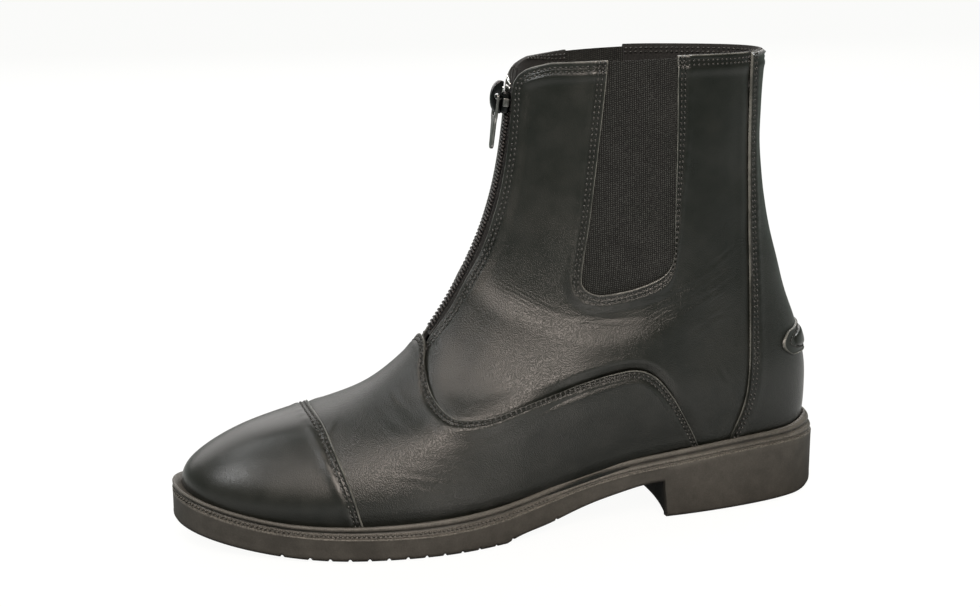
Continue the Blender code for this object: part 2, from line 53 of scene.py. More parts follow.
# %% Camera
target = np.array([0.00722, -0.00232, 0.0890])
turn, rise, distance = np.radians(16.62), np.radians(13.38), 0.690
towards_camera = np.array([np.sin(turn) * np.cos(rise), np.cos(turn) * np.cos(rise), np.sin(rise)])
lens = bpy.data.cameras.new("boot_camera")
lens.sensor_fit = 'HORIZONTAL'
lens.sensor_width = 36.0
lens.lens = 61.08
camera = bpy.data.objects.new("boot_camera", lens)
camera.location = target + distance * towards_camera
camera.rotation_euler = Vector(towards_camera).to_track_quat('Z', 'Y').to_euler()
bpy.context.scene.collection.objects.link(camera)
bpy.context.scene.camera = camera
print("camera at", np.round(camera.location, 3))

# %% [markdown]
# ## Light
# Black leather shows its form by what it reflects. A warm soft panel beside the camera draws the
# broad sheen on the side, a small one high over the toe fills the instep, a wide one far behind
# gives the bright rims along the toe and the ridge, a small one ahead puts a glint on the toe, and
# a hard one above the heel picks out the folded edges that face up.

# %% Light panels
view = bpy.context.scene.view_settings
view.view_transform = 'Standard'
view.look = 'None'


def light_panel(name, place, aim, size, watts, tint=(1.0, 1.0, 1.0)):
    """Rectangular lamp at a place, turned so that it shines at its aim."""
    lamp = bpy.data.lights.new(name, 'AREA')
    lamp.shape = 'RECTANGLE'
    lamp.size, lamp.size_y = size
    lamp.energy = watts
    lamp.color = tint
    thing = bpy.data.objects.new(name, lamp)
    thing.location = place
    thing.rotation_euler = (Vector(place) - Vector(aim)).to_track_quat('Z', 'Y').to_euler()
    thing.visible_camera = False
    bpy.context.scene.collection.objects.link(thing)


light_panel("light_side", (0.14, 0.95, 1.03), (0.02, 0.0, 0.07), (0.90, 0.80), 23.0,
            (1.0, 0.88, 0.79))
light_panel("light_toe", (0.62, -0.29, 1.05), (0.02, 0.0, 0.06), (0.42, 0.42), 2.2)
light_panel("light_behind", (0.0, -1.75, 1.10), (0.0, 0.0, 0.10), (3.0, 1.6), 27.0,
            (1.0, 0.96, 0.95))
light_panel("light_glint", (0.86, 0.18, 0.82), (0.10, 0.02, 0.03), (0.20, 0.20), 3.4)
light_panel("light_rim", (-0.62, -0.30, 0.92), (-0.05, 0.0, 0.10), (0.35, 0.35), 5.0)

world = bpy.data.worlds.new("studio")
bpy.context.scene.world = world
world.use_nodes = True
sky = world.node_tree.nodes["Background"].inputs
sky["Color"].default_value = (0.87, 1.0, 0.88, 1.0)
sky["Strength"].default_value = 0.15
print("five light panels")

# %% [markdown]
# ## The tables of the boot
# A shoemaker starts from a last, a solid foot. Here the last is a few tables: the outline of the
# sole, the height of its top, and twelve loops from the sole to the collar. They are the CAD
# part's own numbers, so every sheet of leather that is laid on them sits where its solid is.
# All sizes are in millimetres until a mesh is made.

# %% Tables
SOLE_LENGTH, HEEL_RADIUS, TOE_RADIUS, TOE_OFFSET = 280.0, 30.5, 33.5, -3.6
SOLE_EDGE = np.array([(0.14, 30.5, 0.0), (0.28, 32.0, 2.5), (0.43, 31.0, 4.7), (0.60, 44.0, 4.6),
                      (0.70, 47.3, 2.2), (0.80, 43.0, 0.8), (0.90, 32.5, -0.8)])
SOLE_TOP = np.array([(0.0, 25.0), (0.12, 25.6), (0.25, 23.6), (0.36, 20.0), (0.48, 14.2),
                     (0.60, 11.4), (0.75, 10.0), (0.88, 11.6), (1.0, 19.0)])
SHARES = np.array([0.12, 0.30, 0.50, 0.70, 0.87])
LEVELS = np.array([
    # back x and z, front x and z, back radius, five half widths, front radius, share of the bend
    (7.0, 25.9, 273.5, 19.3, 26.5, 25.5, 27.5, 30.0, 41.5, 32.0, 29.0, 1.00),
    (6.0, 36.0, 274.0, 25.5, 27.0, 27.5, 29.5, 32.5, 43.0, 33.0, 29.0, 1.00),
    (5.5, 47.0, 268.5, 33.0, 27.0, 28.5, 31.0, 34.0, 41.0, 29.0, 24.0, 1.00),
    (6.2, 58.0, 252.0, 42.0, 26.5, 28.5, 32.0, 35.0, 36.5, 23.5, 18.0, 0.95),
    (9.0, 68.5, 228.5, 48.0, 26.0, 27.5, 32.0, 34.5, 32.5, 21.0, 14.5, 0.80),
    (12.5, 78.5, 203.0, 56.2, 25.0, 26.0, 31.5, 33.5, 30.5, 20.5, 13.5, 0.58),
    (16.8, 90.0, 182.5, 70.5, 24.0, 24.5, 31.0, 32.5, 28.5, 19.5, 13.0, 0.32),
    (21.2, 104.0, 167.3, 89.5, 23.0, 23.0, 30.5, 31.5, 27.0, 18.0, 12.0, 0.12),
    (25.8, 121.0, 155.0, 111.5, 22.5, 22.0, 29.5, 31.0, 26.5, 17.5, 11.0, 0.02),
    (29.6, 142.0, 146.3, 135.0, 22.0, 21.5, 29.0, 31.0, 26.5, 17.5, 11.0, 0.00),
    (31.0, 166.0, 141.4, 161.0, 22.0, 21.5, 29.0, 31.0, 27.0, 18.0, 11.0, 0.00),
    (29.6, 192.0, 138.4, 188.5, 22.0, 21.5, 29.0, 31.2, 27.5, 18.0, 11.0, 0.00),
])
TOP_LEVEL = len(LEVELS) - 1
print("loops from the sole to the collar:", len(LEVELS))

# %% [markdown]
# ## The last as a function
# A point of the last is asked for by an angle round the foot, 0 at the back and pi at the front,
# and a level between the sole and the collar. Smooth cubic curves run through the tables, so the
# answer has no corners, and the slope of the function gives the direction that leather thickness
# grows in.

# %% Curves through tables
def spline(knots, values, at):
    """Natural cubic curve through the values at the knots, read at each place in at: the bends at
    the knots solve one small linear system."""
    knots, values, at = (np.asarray(a, float) for a in (knots, values, at))
    count, step = len(knots), np.diff(knots)
    slope = (np.diff(values, axis=0).T / step).T
    system, right = np.eye(count), np.zeros_like(values)
    for i in range(1, count - 1):
        system[i, i - 1:i + 2] = step[i - 1], 2 * (step[i - 1] + step[i]), step[i]
        right[i] = 6 * (slope[i] - slope[i - 1])
    curve = np.linalg.solve(system, right)
    i = np.clip(np.searchsorted(knots, at) - 1, 0, count - 2)
    low, high, width = at - knots[i], knots[i + 1] - at, step[i]
    if values.ndim > 1:
        low, high, width = low[..., None], high[..., None], width[..., None]
    bent = (curve[i] * high ** 3 + curve[i + 1] * low ** 3) / (6 * width)
    return (bent + (values[i] / width - curve[i] * width / 6) * high
            + (values[i + 1] / width - curve[i + 1] * width / 6) * low)


def smooth_line(points, per_span=24):
    """Rounded line through the points: each span is a cubic of its four nearest points."""
    p = np.asarray(points, float)
    p = np.vstack([2 * p[0] - p[1], p, 2 * p[-1] - p[-2]])
    t = (np.arange(per_span) / per_span)[:, None]
    spans = [0.5 * (2 * b + (c - a) * t + (2 * a - 5 * b + 4 * c - d) * t ** 2
                    + (3 * b - a - 3 * c + d) * t ** 3)
             for a, b, c, d in zip(p[:-3], p[1:-2], p[2:-1], p[3:])]
    return np.vstack(spans + [p[-2:-1]])


def unit(vectors):
    """Vectors brought to length 1."""
    return vectors / np.linalg.norm(vectors, axis=-1, keepdims=True)


def shift_line(line, distance):
    """Line moved to the right of its own direction by a distance."""
    along = unit(np.gradient(line, axis=0))
    return line + distance * np.stack([along[:, 1], -along[:, 0]], -1)

# %% Shape of the last
def sole_top(x):
    """Height of the sole's top at x."""
    return spline(SOLE_TOP[:, 0], SOLE_TOP[:, 1], np.clip(x / SOLE_LENGTH, 0, 1))


def bend(x):
    """Offset of the foot's middle line to the outer side at x."""
    shares = np.concatenate([[0], SOLE_EDGE[:, 0], [1]])
    offsets = np.concatenate([[0], SOLE_EDGE[:, 2], [TOE_OFFSET]])
    return spline(shares, offsets, np.clip(x / SOLE_LENGTH, 0, 1))


def loop_half_width(angle, length, shares, widths, back_radius, front_radius):
    """Half width of a loop: half its length times sin(angle), times a smooth fullness."""
    length = np.asarray(length, float)
    ends = np.concatenate([[0], shares, [1]])
    fullness = np.concatenate([np.sqrt(2 * back_radius / length)[..., None],
                               widths / (length[..., None] * np.sqrt(shares * (1 - shares))),
                               np.sqrt(2 * front_radius / length)[..., None]], -1)
    weights = spline(np.arccos(1 - 2 * ends), np.eye(len(ends)), angle)
    return length / 2 * np.sin(angle) * (weights * fullness).sum(-1)


def fold(angle):
    """Angle brought to the outer half, with the side it came from: 1 outer, -1 inner."""
    angle = np.mod(np.asarray(angle, float), 2 * np.pi)
    inner = angle > np.pi
    return np.where(inner, 2 * np.pi - angle, angle), np.where(inner, -1.0, 1.0)


def seat(x, level):
    """Lift that bends the lowest levels to the sole: from the first loop's straight line to just
    above the sole's top, fading out at level 4."""
    back_x, back_z, front_x, front_z = LEVELS[0, :4]
    chord = back_z + (front_z - back_z) * (x - back_x) / (front_x - back_x)
    return np.clip(1 - level / 4, 0, 1) ** 2 * (sole_top(x) + 0.3 - chord)


def last_point(angle, level):
    """Point of the last: x runs from the loop's back to its front as (1 - cos(angle)) / 2, y is the
    loop's half width and z a plane between back and front that bends to the sole near level 0."""
    angle, level = np.broadcast_arrays(np.asarray(angle, float), np.asarray(level, float))
    half, side = fold(angle)
    row = spline(np.arange(TOP_LEVEL + 1), LEVELS, level)
    back_x, back_z, front_x, front_z, back_radius = (row[..., i] for i in range(5))
    share = (1 - np.cos(half)) / 2
    length = np.hypot(front_x - back_x, front_z - back_z)
    x = back_x + (front_x - back_x) * share
    width = loop_half_width(half, length, SHARES, row[..., 5:10], back_radius, row[..., 10])
    z = back_z + (front_z - back_z) * share + seat(x, level)
    return np.stack([x, bend(x) * row[..., 11] + side * width, z], -1)


def on_last(angle, level, tiny=1e-3):
    """Points of the last with the unit directions out of it: the cross product of its two
    slopes."""
    round_foot = last_point(angle + tiny, level) - last_point(angle - tiny, level)
    upward = last_point(angle, level + tiny) - last_point(angle, level - tiny)
    return last_point(angle, level), unit(np.cross(upward, round_foot))


def lifted(base, normal, height):
    """Points moved out along their normals by a height."""
    return base + np.asarray(height)[..., None] * normal


def sole_edge(angle, inset=0.0):
    """Point of the sole's outline at an angle, moved square to the outline by the inset."""
    def place(a):
        half, side = fold(a)
        x = SOLE_LENGTH * (1 - np.cos(half)) / 2
        width = loop_half_width(half, np.full_like(half, SOLE_LENGTH), SOLE_EDGE[:, 0],
                                SOLE_EDGE[:, 1], HEEL_RADIUS, TOE_RADIUS)
        return np.stack([x, bend(x) + side * width], -1)
    along = unit(place(angle + 1e-4) - place(angle - 1e-4))
    inward = np.stack([along[..., 1], -along[..., 0]], -1)
    return lifted(place(angle), inward, inset)


outline = sole_edge(np.linspace(0, 2 * np.pi, 721))
CENTRE = np.array([SOLE_LENGTH / 2, (outline[:, 1].max() + outline[:, 1].min()) / 2, 0.0])
print("middle of the sole, in millimetres:", np.round(CENTRE, 2))

# %% [markdown]
# ## From arrays to a piece
# A grid of points becomes a mesh in one go: the coordinates, the corners of the faces, a UV map
# measured in millimetres and any measured marks go in as whole arrays. Points that fall on each
# other at poles and seams are then joined, so that every piece is closed.

# %% Mesh helpers
def grid_faces(rows, columns, start=0, wrap_rows=False, wrap_columns=False):
    """Corners of the four-sided faces of a grid: each joins a point to its right, upper right and
    upper neighbours, and a wrapped direction joins its last line to its first."""
    i = np.arange(rows if wrap_rows else rows - 1)
    j = np.arange(columns if wrap_columns else columns - 1)
    i, j = (a.ravel() for a in np.meshgrid(i, j, indexing="ij"))
    n, m = (i + 1) % rows, (j + 1) % columns
    corners = [i * columns + j, n * columns + j, n * columns + m, i * columns + m]
    return np.stack(corners, -1) + start


NO_EDGE = 9.0


def make_piece(name, points, faces, finish, slot, body="boot", uv=None, edge=(), crease=50.0):
    """Mesh object from points in millimetres and four-cornered faces, riding on a body. A UV map
    for the first points only is repeated. The edge mark, a distance to an edge that is painted
    paler (wear and a painted highlight), is filled up."""
    points = (np.asarray(points, float).reshape(-1, 3) - CENTRE) * 0.001
    mesh = bpy.data.meshes.new(name)
    mesh.vertices.add(len(points))
    mesh.vertices.foreach_set("co", points.ravel())
    mesh.loops.add(faces.size)
    mesh.loops.foreach_set("vertex_index", faces.ravel())
    mesh.polygons.add(len(faces))
    mesh.polygons.foreach_set("loop_start", np.arange(0, faces.size, 4))
    mesh.update(calc_edges=True)
    if uv is not None:
        layer = mesh.uv_layers.new(name="cloth")
        layer.data.foreach_set("uv", np.resize(uv, (len(points), 2))[faces.ravel()].ravel())
    marks = np.full(len(points), NO_EDGE)
    marks[:np.size(edge)] = np.clip(np.ravel(edge), 0, NO_EDGE)
    mesh.attributes.new("edge", 'FLOAT', 'POINT').data.foreach_set("value", marks)
    shape = bmesh.new()
    shape.from_mesh(mesh)
    bmesh.ops.remove_doubles(shape, verts=shape.verts, dist=1e-7)
    bmesh.ops.dissolve_degenerate(shape, edges=shape.edges, dist=1e-8)
    bmesh.ops.recalc_face_normals(shape, faces=shape.faces)
    shape.to_mesh(mesh)
    shape.free()
    mesh.polygons.foreach_set("use_smooth", np.ones(len(mesh.polygons), bool))
    mesh.set_sharp_from_angle(angle=np.radians(crease))
    mesh.materials.append(finish)
    thing = bpy.data.objects.new(name, mesh)
    bpy.context.scene.collection.objects.link(thing)
    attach(thing, body)
    print(name, "has", len(mesh.polygons), "faces")
    return thing


def make_sheet(name, outer, inner, finish, slot, uv=None, edge=()):
    """Thin closed piece: a grid, the same grid further in, and four rims between them."""
    rows, columns = outer.shape[:2]
    half = rows * columns
    number = np.arange(half).reshape(rows, columns)
    faces = [grid_faces(rows, columns), grid_faces(rows, columns, half)[:, ::-1]]
    for rim in (number[:, 0], number[:, -1], number[0], number[-1]):
        faces.append(np.stack([rim[:-1], rim[1:], rim[1:] + half, rim[:-1] + half], -1))
    points = np.vstack([outer.reshape(-1, 3), inner.reshape(-1, 3)])
    return make_piece(name, points, np.vstack(faces), finish, slot, uv=uv, edge=edge)


def make_rings(name, rings, finish, slot, closed=False, **more):
    """Piece from a row of rings; when closed, the last ring joins the first."""
    faces = grid_faces(*rings.shape[:2], wrap_rows=closed, wrap_columns=True)
    return make_piece(name, rings, faces, finish, slot, **more)


print("mesh helpers ready")

# %% [markdown]
# ## Writing shaders as sums
# A finish is a sum of noises, waves and masks. Wrapping a socket in a small class lets a plain +
# or * add the Math node, so a shader reads like the formula it is.

# %% Shader helper
class Wire:
    """An output socket that can be added, multiplied and fed to other nodes."""

    def __init__(self, tree, socket):
        self.tree, self.socket = tree, socket

    def node(self, kind, settings=None, inputs=None, output=0):
        """Adds a node of a kind: its settings first, then values or wires for its sockets."""
        new = self.tree.nodes.new(kind)
        for key, value in (settings or {}).items():
            setattr(new, key, value)
        for key, value in (inputs or {}).items():
            if isinstance(value, Wire):
                self.tree.links.new(value.socket, new.inputs[key])
            else:
                new.inputs[key].default_value = value
        return Wire(self.tree, new.outputs[output])

    def math(self, operation, *values):
        """Math node over wires and numbers."""
        return self.node("ShaderNodeMath", {"operation": operation}, dict(enumerate(values)))

    def __add__(self, other):
        return self.math('ADD', self, other)

    def __radd__(self, other):
        return self.math('ADD', other, self)

    def __sub__(self, other):
        return self.math('SUBTRACT', self, other)

    def __rsub__(self, other):
        return self.math('SUBTRACT', other, self)

    def __mul__(self, other):
        return self.math('MULTIPLY', self, other)

    def __rmul__(self, other):
        return self.math('MULTIPLY', other, self)

    def __truediv__(self, other):
        return self.math('DIVIDE', self, other)

    def step(self, low, high):
        """Smooth rise from 0 at low to 1 at high."""
        return self.node("ShaderNodeMapRange", {"interpolation_type": 'SMOOTHSTEP'},
                         {"Value": self, "From Min": low, "From Max": high})

    def bell(self, middle, half):
        """Bump of height 1 round a middle: exp of minus the squared distance over half."""
        away = (self - middle) / half
        return self.math('EXPONENT', 0.0 - away * away)

    def noise(self, scale, detail=2.0, rough=0.5):
        """Soft noise of a scale, read at this vector."""
        return self.node("ShaderNodeTexNoise", None,
                         {"Vector": self, "Scale": scale, "Detail": detail, "Roughness": rough})

    def cells(self, scale):
        """Distance to the nearest of scattered points, read at this vector."""
        return self.node("ShaderNodeTexVoronoi", None, {"Vector": self, "Scale": scale})

    def stretch(self, along):
        """This vector with each part multiplied by its own number."""
        return self.node("ShaderNodeVectorMath", {"operation": 'MULTIPLY'}, {0: self, 1: along})

    def mix(self, *colours):
        """Colour between two colours, each a wire or three numbers, by this share."""
        first, second = (c if isinstance(c, Wire) else (*c, 1.0) for c in colours)
        return self.node("ShaderNodeMix", {"data_type": 'RGBA'}, {0: self, 6: first, 7: second}, 2)

    def part(self, axis):
        """One number of this vector, by its place."""
        return self.node("ShaderNodeSeparateXYZ", None, {0: self}, axis)


def new_finish(name, **constants):
    """Empty finish: its material, its main shader, and a wire to the object's own coordinates."""
    material = bpy.data.materials.new(name)
    material.use_nodes = True
    tree = material.node_tree
    shader = tree.nodes["Principled BSDF"]
    for key, value in constants.items():
        shader.inputs[key.replace("_", " ")].default_value = value
    return material, shader, Wire(tree, None).node("ShaderNodeTexCoord", output=3)


def feed(shader, **wires):
    """Links wires to the main shader's sockets; a height goes through a Bump node to the normal."""
    for key, wire in wires.items():
        if key == "bump":
            height, strength, depth = wire
            wire = height.node("ShaderNodeBump", None,
                               {"Strength": strength, "Distance": depth, "Height": height})
            key = "Normal"
        wire.tree.links.new(wire.socket, shader.inputs[key.replace("_", " ")])


def mark(wire, name):
    """Wire to a measured mark of the piece."""
    return wire.node("ShaderNodeAttribute", {"attribute_name": name}, None, 2)


def cloth_uv(wire):
    """Wire to the piece's own UV map, in millimetres."""
    return wire.node("ShaderNodeUVMap", {"uv_map": "cloth"})


print("shader helper ready")

# %% [markdown]
# ## Floor
# The floor is plain pale paper, and a ring of the same paper closes the view all round. A white
# floor also throws light back at the boot, though little of it right beside the sole, where the
# boot shades it. That light comes from a sheet just below the floor that the camera can't see:
# dark under the boot, pale around it with a pool of light beside the middle of the foot, and
# dimmer again far out.

# %% Floor and paper
def stage_piece(name, points, faces, finish, **rays):
    """Piece of the studio, with switches for the kinds of rays that see it."""
    mesh = bpy.data.meshes.new(name)
    mesh.from_pydata(points, [], faces)
    mesh.materials.append(finish)
    thing = bpy.data.objects.new(name, mesh)
    for ray, sees in rays.items():
        setattr(thing, "visible_" + ray, sees)
    bpy.context.scene.collection.objects.link(thing)


def square(height):
    """Corners of a wide square at a height, in metres."""
    return [(-9, -9, height), (9, -9, height), (9, 9, height), (-9, 9, height)]


def pale_paper(name, glow):
    """Matt off-white paper that glows a little, so that it stays pale far from the lamps."""
    return new_finish(name, Base_Color=(0.03, 0.03, 0.03, 1.0), Roughness=0.9,
                      Emission_Color=(1.0, 1.0, 0.99, 1.0), Emission_Strength=glow)[0]


stage_piece("floor", square(0), [(0, 1, 2, 3)], pale_paper("pale_floor", 0.945),
            diffuse=False, glossy=False)
around = np.linspace(0, 2 * np.pi, 64, endpoint=False)
ring = np.column_stack([8.5 * np.cos(around), 8.5 * np.sin(around), 0 * around])
stage_piece("backdrop", np.vstack([ring, ring + (0, 0, 7.0)]).tolist(),
            grid_faces(2, 64, wrap_columns=True).tolist(), pale_paper("pale_backdrop", 0.95),
            diffuse=False, glossy=False, shadow=False)
print("floor and backdrop ready")

# %% Bounce
POOL_AT, POOL_RADIUS = (0.00, 0.14), 0.08
SHADE_LONG, SHADE_WIDE = 0.18, 0.085
bounce_paper, shader, place = new_finish("floor_bounce", Base_Color=(0.0, 0.0, 0.0, 1.0),
                                         Roughness=1.0, Specular_IOR_Level=0.0,
                                         Emission_Strength=0.85)


def away_from(middle, half_x, half_y):
    """Distance over the floor from a middle, in half sizes of an oval."""
    x, y = (place.part(0) - middle[0]) / half_x, (place.part(1) - middle[1]) / half_y
    return x.math('SQRT', y * y + x * x)


away = away_from((0.0, 0.0), SHADE_LONG, SHADE_WIDE)
pool = 1.0 - away_from(POOL_AT, POOL_RADIUS, POOL_RADIUS).step(0.2, 1.2)
pale_bounce = away.step(2.5, 8.0).mix((1.0, 1.0, 0.96), (0.28, 0.33, 0.29))
lit_bounce = pool.mix(pale_bounce, (5.0, 4.7, 4.4))
feed(shader, Emission_Color=away.step(0.7, 1.5).mix((0.05, 0.05, 0.05), lit_bounce))
stage_piece("floor_bounce", square(-0.002), [(0, 1, 2, 3)], bounce_paper,
            camera=False, shadow=False)
print("bounce ready")

# %% [markdown]
# ## Leather
# The upper is black full-grain leather with a soft shine: small pebbles, finer pores between
# them, bands of fine wrinkles round the ankle, slow changes of gloss where it was polished, and
# lighter lines along folded edges, partly wear and partly a painted highlight of the light that
# the folds catch. The pebbles are cells, the pores a fine noise, the wrinkles bent waves, and the
# lighter edges come from a mark that each panel carries: its distance in millimetres from the
# nearest free edge.

# %% Leather
WRINKLES = np.array([
    # start x and z, end x and z, half width of the band, pitch, all in millimetres
    (152.0, 102.0, 121.0, 85.0, 4.6, 1.55),
    (132.0, 86.5, 96.0, 83.0, 3.8, 1.60),
    (102.0, 82.5, 64.0, 97.0, 4.6, 1.70),
    (86.0, 82.0, 45.0, 103.0, 6.0, 1.90),
])


def wrinkles(place, patch):
    """Bands of fine wrinkles in side view: a sine across each band, bent and broken up by a noise,
    under a bell across the band and another along it."""
    x, z = place.part(0) * 1000.0 + SOLE_LENGTH / 2, place.part(2) * 1000.0
    total = 0.0
    for x0, z0, x1, z1, half, pitch in WRINKLES.tolist():
        long = np.hypot(x1 - x0, z1 - z0)
        ahead, up = (x1 - x0) / long, (z1 - z0) / long
        away = (z - z0) * ahead - (x - x0) * up
        share = ((x - x0) * ahead + (z - z0) * up) / long
        wave = away.math('SINE', away * (2 * np.pi / pitch) + patch * 9.0)
        total = total + wave * away.bell(0.0, half) * share.bell(0.5, 0.34)
    return total * (0.15 + 0.85 * patch.step(0.40, 0.62))


PEBBLE = 0.50


def leather(name, relief, gloss):
    """Leather finish with a strength of relief and a roughness."""
    material, shader, place = new_finish(name, IOR=1.5)
    slow = place.noise(26.0, 3.0)
    patch = place.noise(150.0, 3.0)
    pebbles = place.cells(1000.0 / PEBBLE)
    pores = place.noise(3000.0, 2.0, 0.6)
    # Paler colour near free edges: partly wear, partly a painted highlight of the light a folded
    # edge catches.
    wear_and_highlight = (1.0 - mark(place, "edge").step(0.35, 1.15)) * (0.50 + 0.50 * patch.step(0.35, 0.6))
    dyed = (slow * 0.6 + patch * 0.5).step(0.38, 0.72).mix((0.0058, 0.0070, 0.0054),
                                                           (0.0118, 0.0126, 0.0107))
    stretched = 0.25 + 0.75 * (1.0 - place.part(2).step(0.095, 0.150))
    height = (1.0 - pebbles.step(0.05, 0.72)) * stretched * 0.6 + pores * 0.35 + patch * 0.15
    height = height + wrinkles(place, patch) * 0.35
    rough = gloss + (slow - 0.5) * 0.12 + (patch - 0.5) * 0.08 + pebbles * 0.08
    feed(shader, Base_Color=wear_and_highlight.mix(dyed, (0.150, 0.152, 0.140)), Roughness=rough,
         bump=(height, relief, 0.00035))
    return material


upper_leather = leather("grained_leather", 0.40, 0.29)
cap_leather = leather("smooth_cap_leather", 0.12, 0.30)
print("leathers:", upper_leather.name, cap_leather.name)

# %% [markdown]
# ## Elastic, tape, thread and lining
# The side gores are woven elastic: fine upright ribs crossed by finer picks. The zip tape is a
# tighter weave, the lining a plain close one, and the thread a waxed black cord. Each weave is a
# product of waves over the piece's own UV map in millimetres.

# %% Woven finishes
def woven(name, across, along, dark, pale, rough, depth):
    """Weave of ribs and picks: two sine waves of given pitches in millimetres, shifted from rib to
    rib, over a little noise."""
    material, shader, place = new_finish(name, Specular_IOR_Level=0.25, Sheen_Weight=0.10)
    uv = cloth_uv(place)
    u, v = uv.part(0), uv.part(1)
    fuzz = place.noise(1500.0, 3.0, 0.7)
    cloud = place.noise(90.0, 2.0)
    rib = u.math('SINE', u * (2 * np.pi / across))
    pick = u.math('SINE', v * (2 * np.pi / along) + rib * 1.3)
    knot = (rib * 0.5 + 0.5) * (pick * 0.5 + 0.5)
    height = knot * 0.7 + fuzz * 0.6
    shade = (knot * 0.9 + (fuzz - 0.5) * 1.9 + (cloud - 0.5) * 0.4).step(0.12, 0.85)
    feed(shader, Base_Color=shade.mix(dark, pale), Roughness=rough + (fuzz - 0.5) * 0.15,
         bump=(height, 0.6, depth))
    return material


elastic = woven("black_elastic", 0.90, 0.85, (0.0010, 0.0012, 0.0010), (0.042, 0.045, 0.042),
                0.82, 0.00034)
tape_cloth = woven("black_zip_tape", 0.60, 0.55, (0.006, 0.006, 0.006), (0.022, 0.022, 0.022),
                   0.80, 0.00020)
lining_cloth = woven("charcoal_lining", 0.70, 0.70, (0.010, 0.010, 0.010), (0.030, 0.029, 0.028),
                     0.85, 0.00015)


def cord(name, dark, pale, rough):
    """Twisted cord or moulded coil: a fine noise for colour, gloss and relief."""
    material, shader, place = new_finish(name, IOR=1.5)
    twist = place.noise(1900.0, 2.0)
    feed(shader, Base_Color=twist.step(0.3, 0.7).mix(dark, pale),
         Roughness=rough + (twist - 0.5) * 0.2, bump=(twist, 0.4, 0.0001))
    return material


thread = cord("black_thread", (0.0060, 0.0060, 0.0060), (0.0400, 0.0395, 0.0370), 0.32)
coil = cord("zip_coil", (0.0070, 0.0060, 0.0060), (0.0300, 0.0260, 0.0250), 0.42)
print("woven finishes, thread and coil ready")

# %% [markdown]
# ## Rubber and metal
# The sole and welt are one brown-black rubber with a dull, finely specked skin, a little paler
# along its edges, partly wear and partly a painted highlight of the light that the edges catch.
# The zip's slider is black and its pull grey, and the two top stops are bright.

# %% Rubber and metal
def toned(tone, *colours):
    """Colours made lighter or darker by a tone."""
    return [tuple(tone * part for part in colour) for colour in colours]


def rubber(name, tone, rough):
    """Moulded rubber: slow, middle and fine noises for its colour, and a finely specked skin."""
    material, shader, place = new_finish(name, IOR=1.45)
    cloud = place.noise(38.0, 4.0, 0.6)
    blotch = place.noise(190.0, 3.0, 0.6)
    speck = place.noise(1500.0, 2.0, 0.6)
    shade = (cloud * 0.45 + blotch * 0.35 + speck * 0.25).step(0.36, 0.74)
    dark, pale, wear_and_highlight_colour = toned(tone, (0.027, 0.0252, 0.0220), (0.049, 0.0460, 0.0405),
                               (0.120, 0.112, 0.098))
    # Paler colour along edges: partly wear, partly a painted highlight of the bright line an edge
    # catches.
    wear_and_highlight = (1.0 - mark(place, "edge").step(0.1, 1.0)) * speck.step(0.40, 0.60)
    feed(shader, Base_Color=(wear_and_highlight * 0.5).mix(shade.mix(dark, pale), wear_and_highlight_colour),
         Roughness=rough + (blotch - 0.5) * 0.12, bump=(blotch * 0.3 + speck * 0.6, 0.30, 0.00022))
    return material


sole_rubber = rubber("brown_black_rubber", 1.48, 0.62)
welt_rubber = rubber("welt_rubber", 1.95, 0.50)


def plated(name, colour, rough):
    """Plated metal with faint drawn scratches."""
    material, shader, place = new_finish(name, Metallic=1.0)
    scratch = place.stretch((1.0, 1.0, 0.12)).noise(2200.0, 3.0, 0.7)
    cloud = place.noise(260.0, 3.0)
    dull = toned(0.6, colour)[0]
    feed(shader, Base_Color=(cloud * 0.7 + scratch * 0.3).step(0.3, 0.7).mix(dull, colour),
         Roughness=rough + (scratch - 0.5) * 0.2 + (cloud - 0.5) * 0.1,
         bump=(scratch, 0.15, 0.00005))
    return material


black_metal = plated("black_plated_metal", (0.045, 0.045, 0.047), 0.22)
grey_metal = plated("grey_plated_metal", (0.26, 0.26, 0.255), 0.38)
bright_metal = plated("bright_plated_metal", (0.92, 0.91, 0.89), 0.22)
print("rubber and metal ready")

# %% [markdown]
# ## Seams on the last
# Every seam is drawn in side view, as on a paper pattern, and then laid on the last: for each
# point the level is found by halving an interval until the height fits. A line that climbs past
# the ridge of the instep is cut there, and mirrored for the inner side.

# %% Seam lines
def keep_run(line, column, limit, sign):
    """Run of a line where sign * (column - limit) stays at or below 0, cut exactly at the limit."""
    gap = sign * (line[:, column] - limit)
    inside = np.flatnonzero(gap <= 0)
    first, last = inside[0], inside[-1]
    run = [line[first:last + 1]]
    if first > 0:
        f = gap[first - 1] / (gap[first - 1] - gap[first])
        run.insert(0, (line[first - 1] + f * (line[first] - line[first - 1]))[None])
    if last < len(line) - 1:
        f = gap[last] / (gap[last] - gap[last + 1])
        run.append((line[last] + f * (line[last + 1] - line[last]))[None])
    return np.vstack(run)


def locate(x, z):
    """Share of the way forward and level of the last's point that side view shows at x, z."""
    low, high = np.full_like(x, -0.4), np.full_like(x, TOP_LEVEL + 0.6)
    for _ in range(40):
        level = (low + high) / 2
        row = spline(np.arange(TOP_LEVEL + 1), LEVELS[:, :4], level)
        share = (x - row[:, 0]) / (row[:, 2] - row[:, 0])
        height = row[:, 1] + (row[:, 3] - row[:, 1]) * share + seat(x, level)
        low, high = np.where(height < z, level, low), np.where(height < z, high, level)
    return np.column_stack([share, level])


FOOT = 0.05


def lay_line(side_view):
    """Angles and levels of a line given in side view, cut at the ridge, the collar and the sole."""
    line = keep_run(locate(side_view[:, 0], side_view[:, 1]), 0, 1.0, 1.0)
    line = keep_run(keep_run(line, 1, TOP_LEVEL, 1.0), 1, FOOT, -1.0)
    return np.column_stack([np.arccos(np.clip(1 - 2 * line[:, 0], -1, 1)), line[:, 1]])


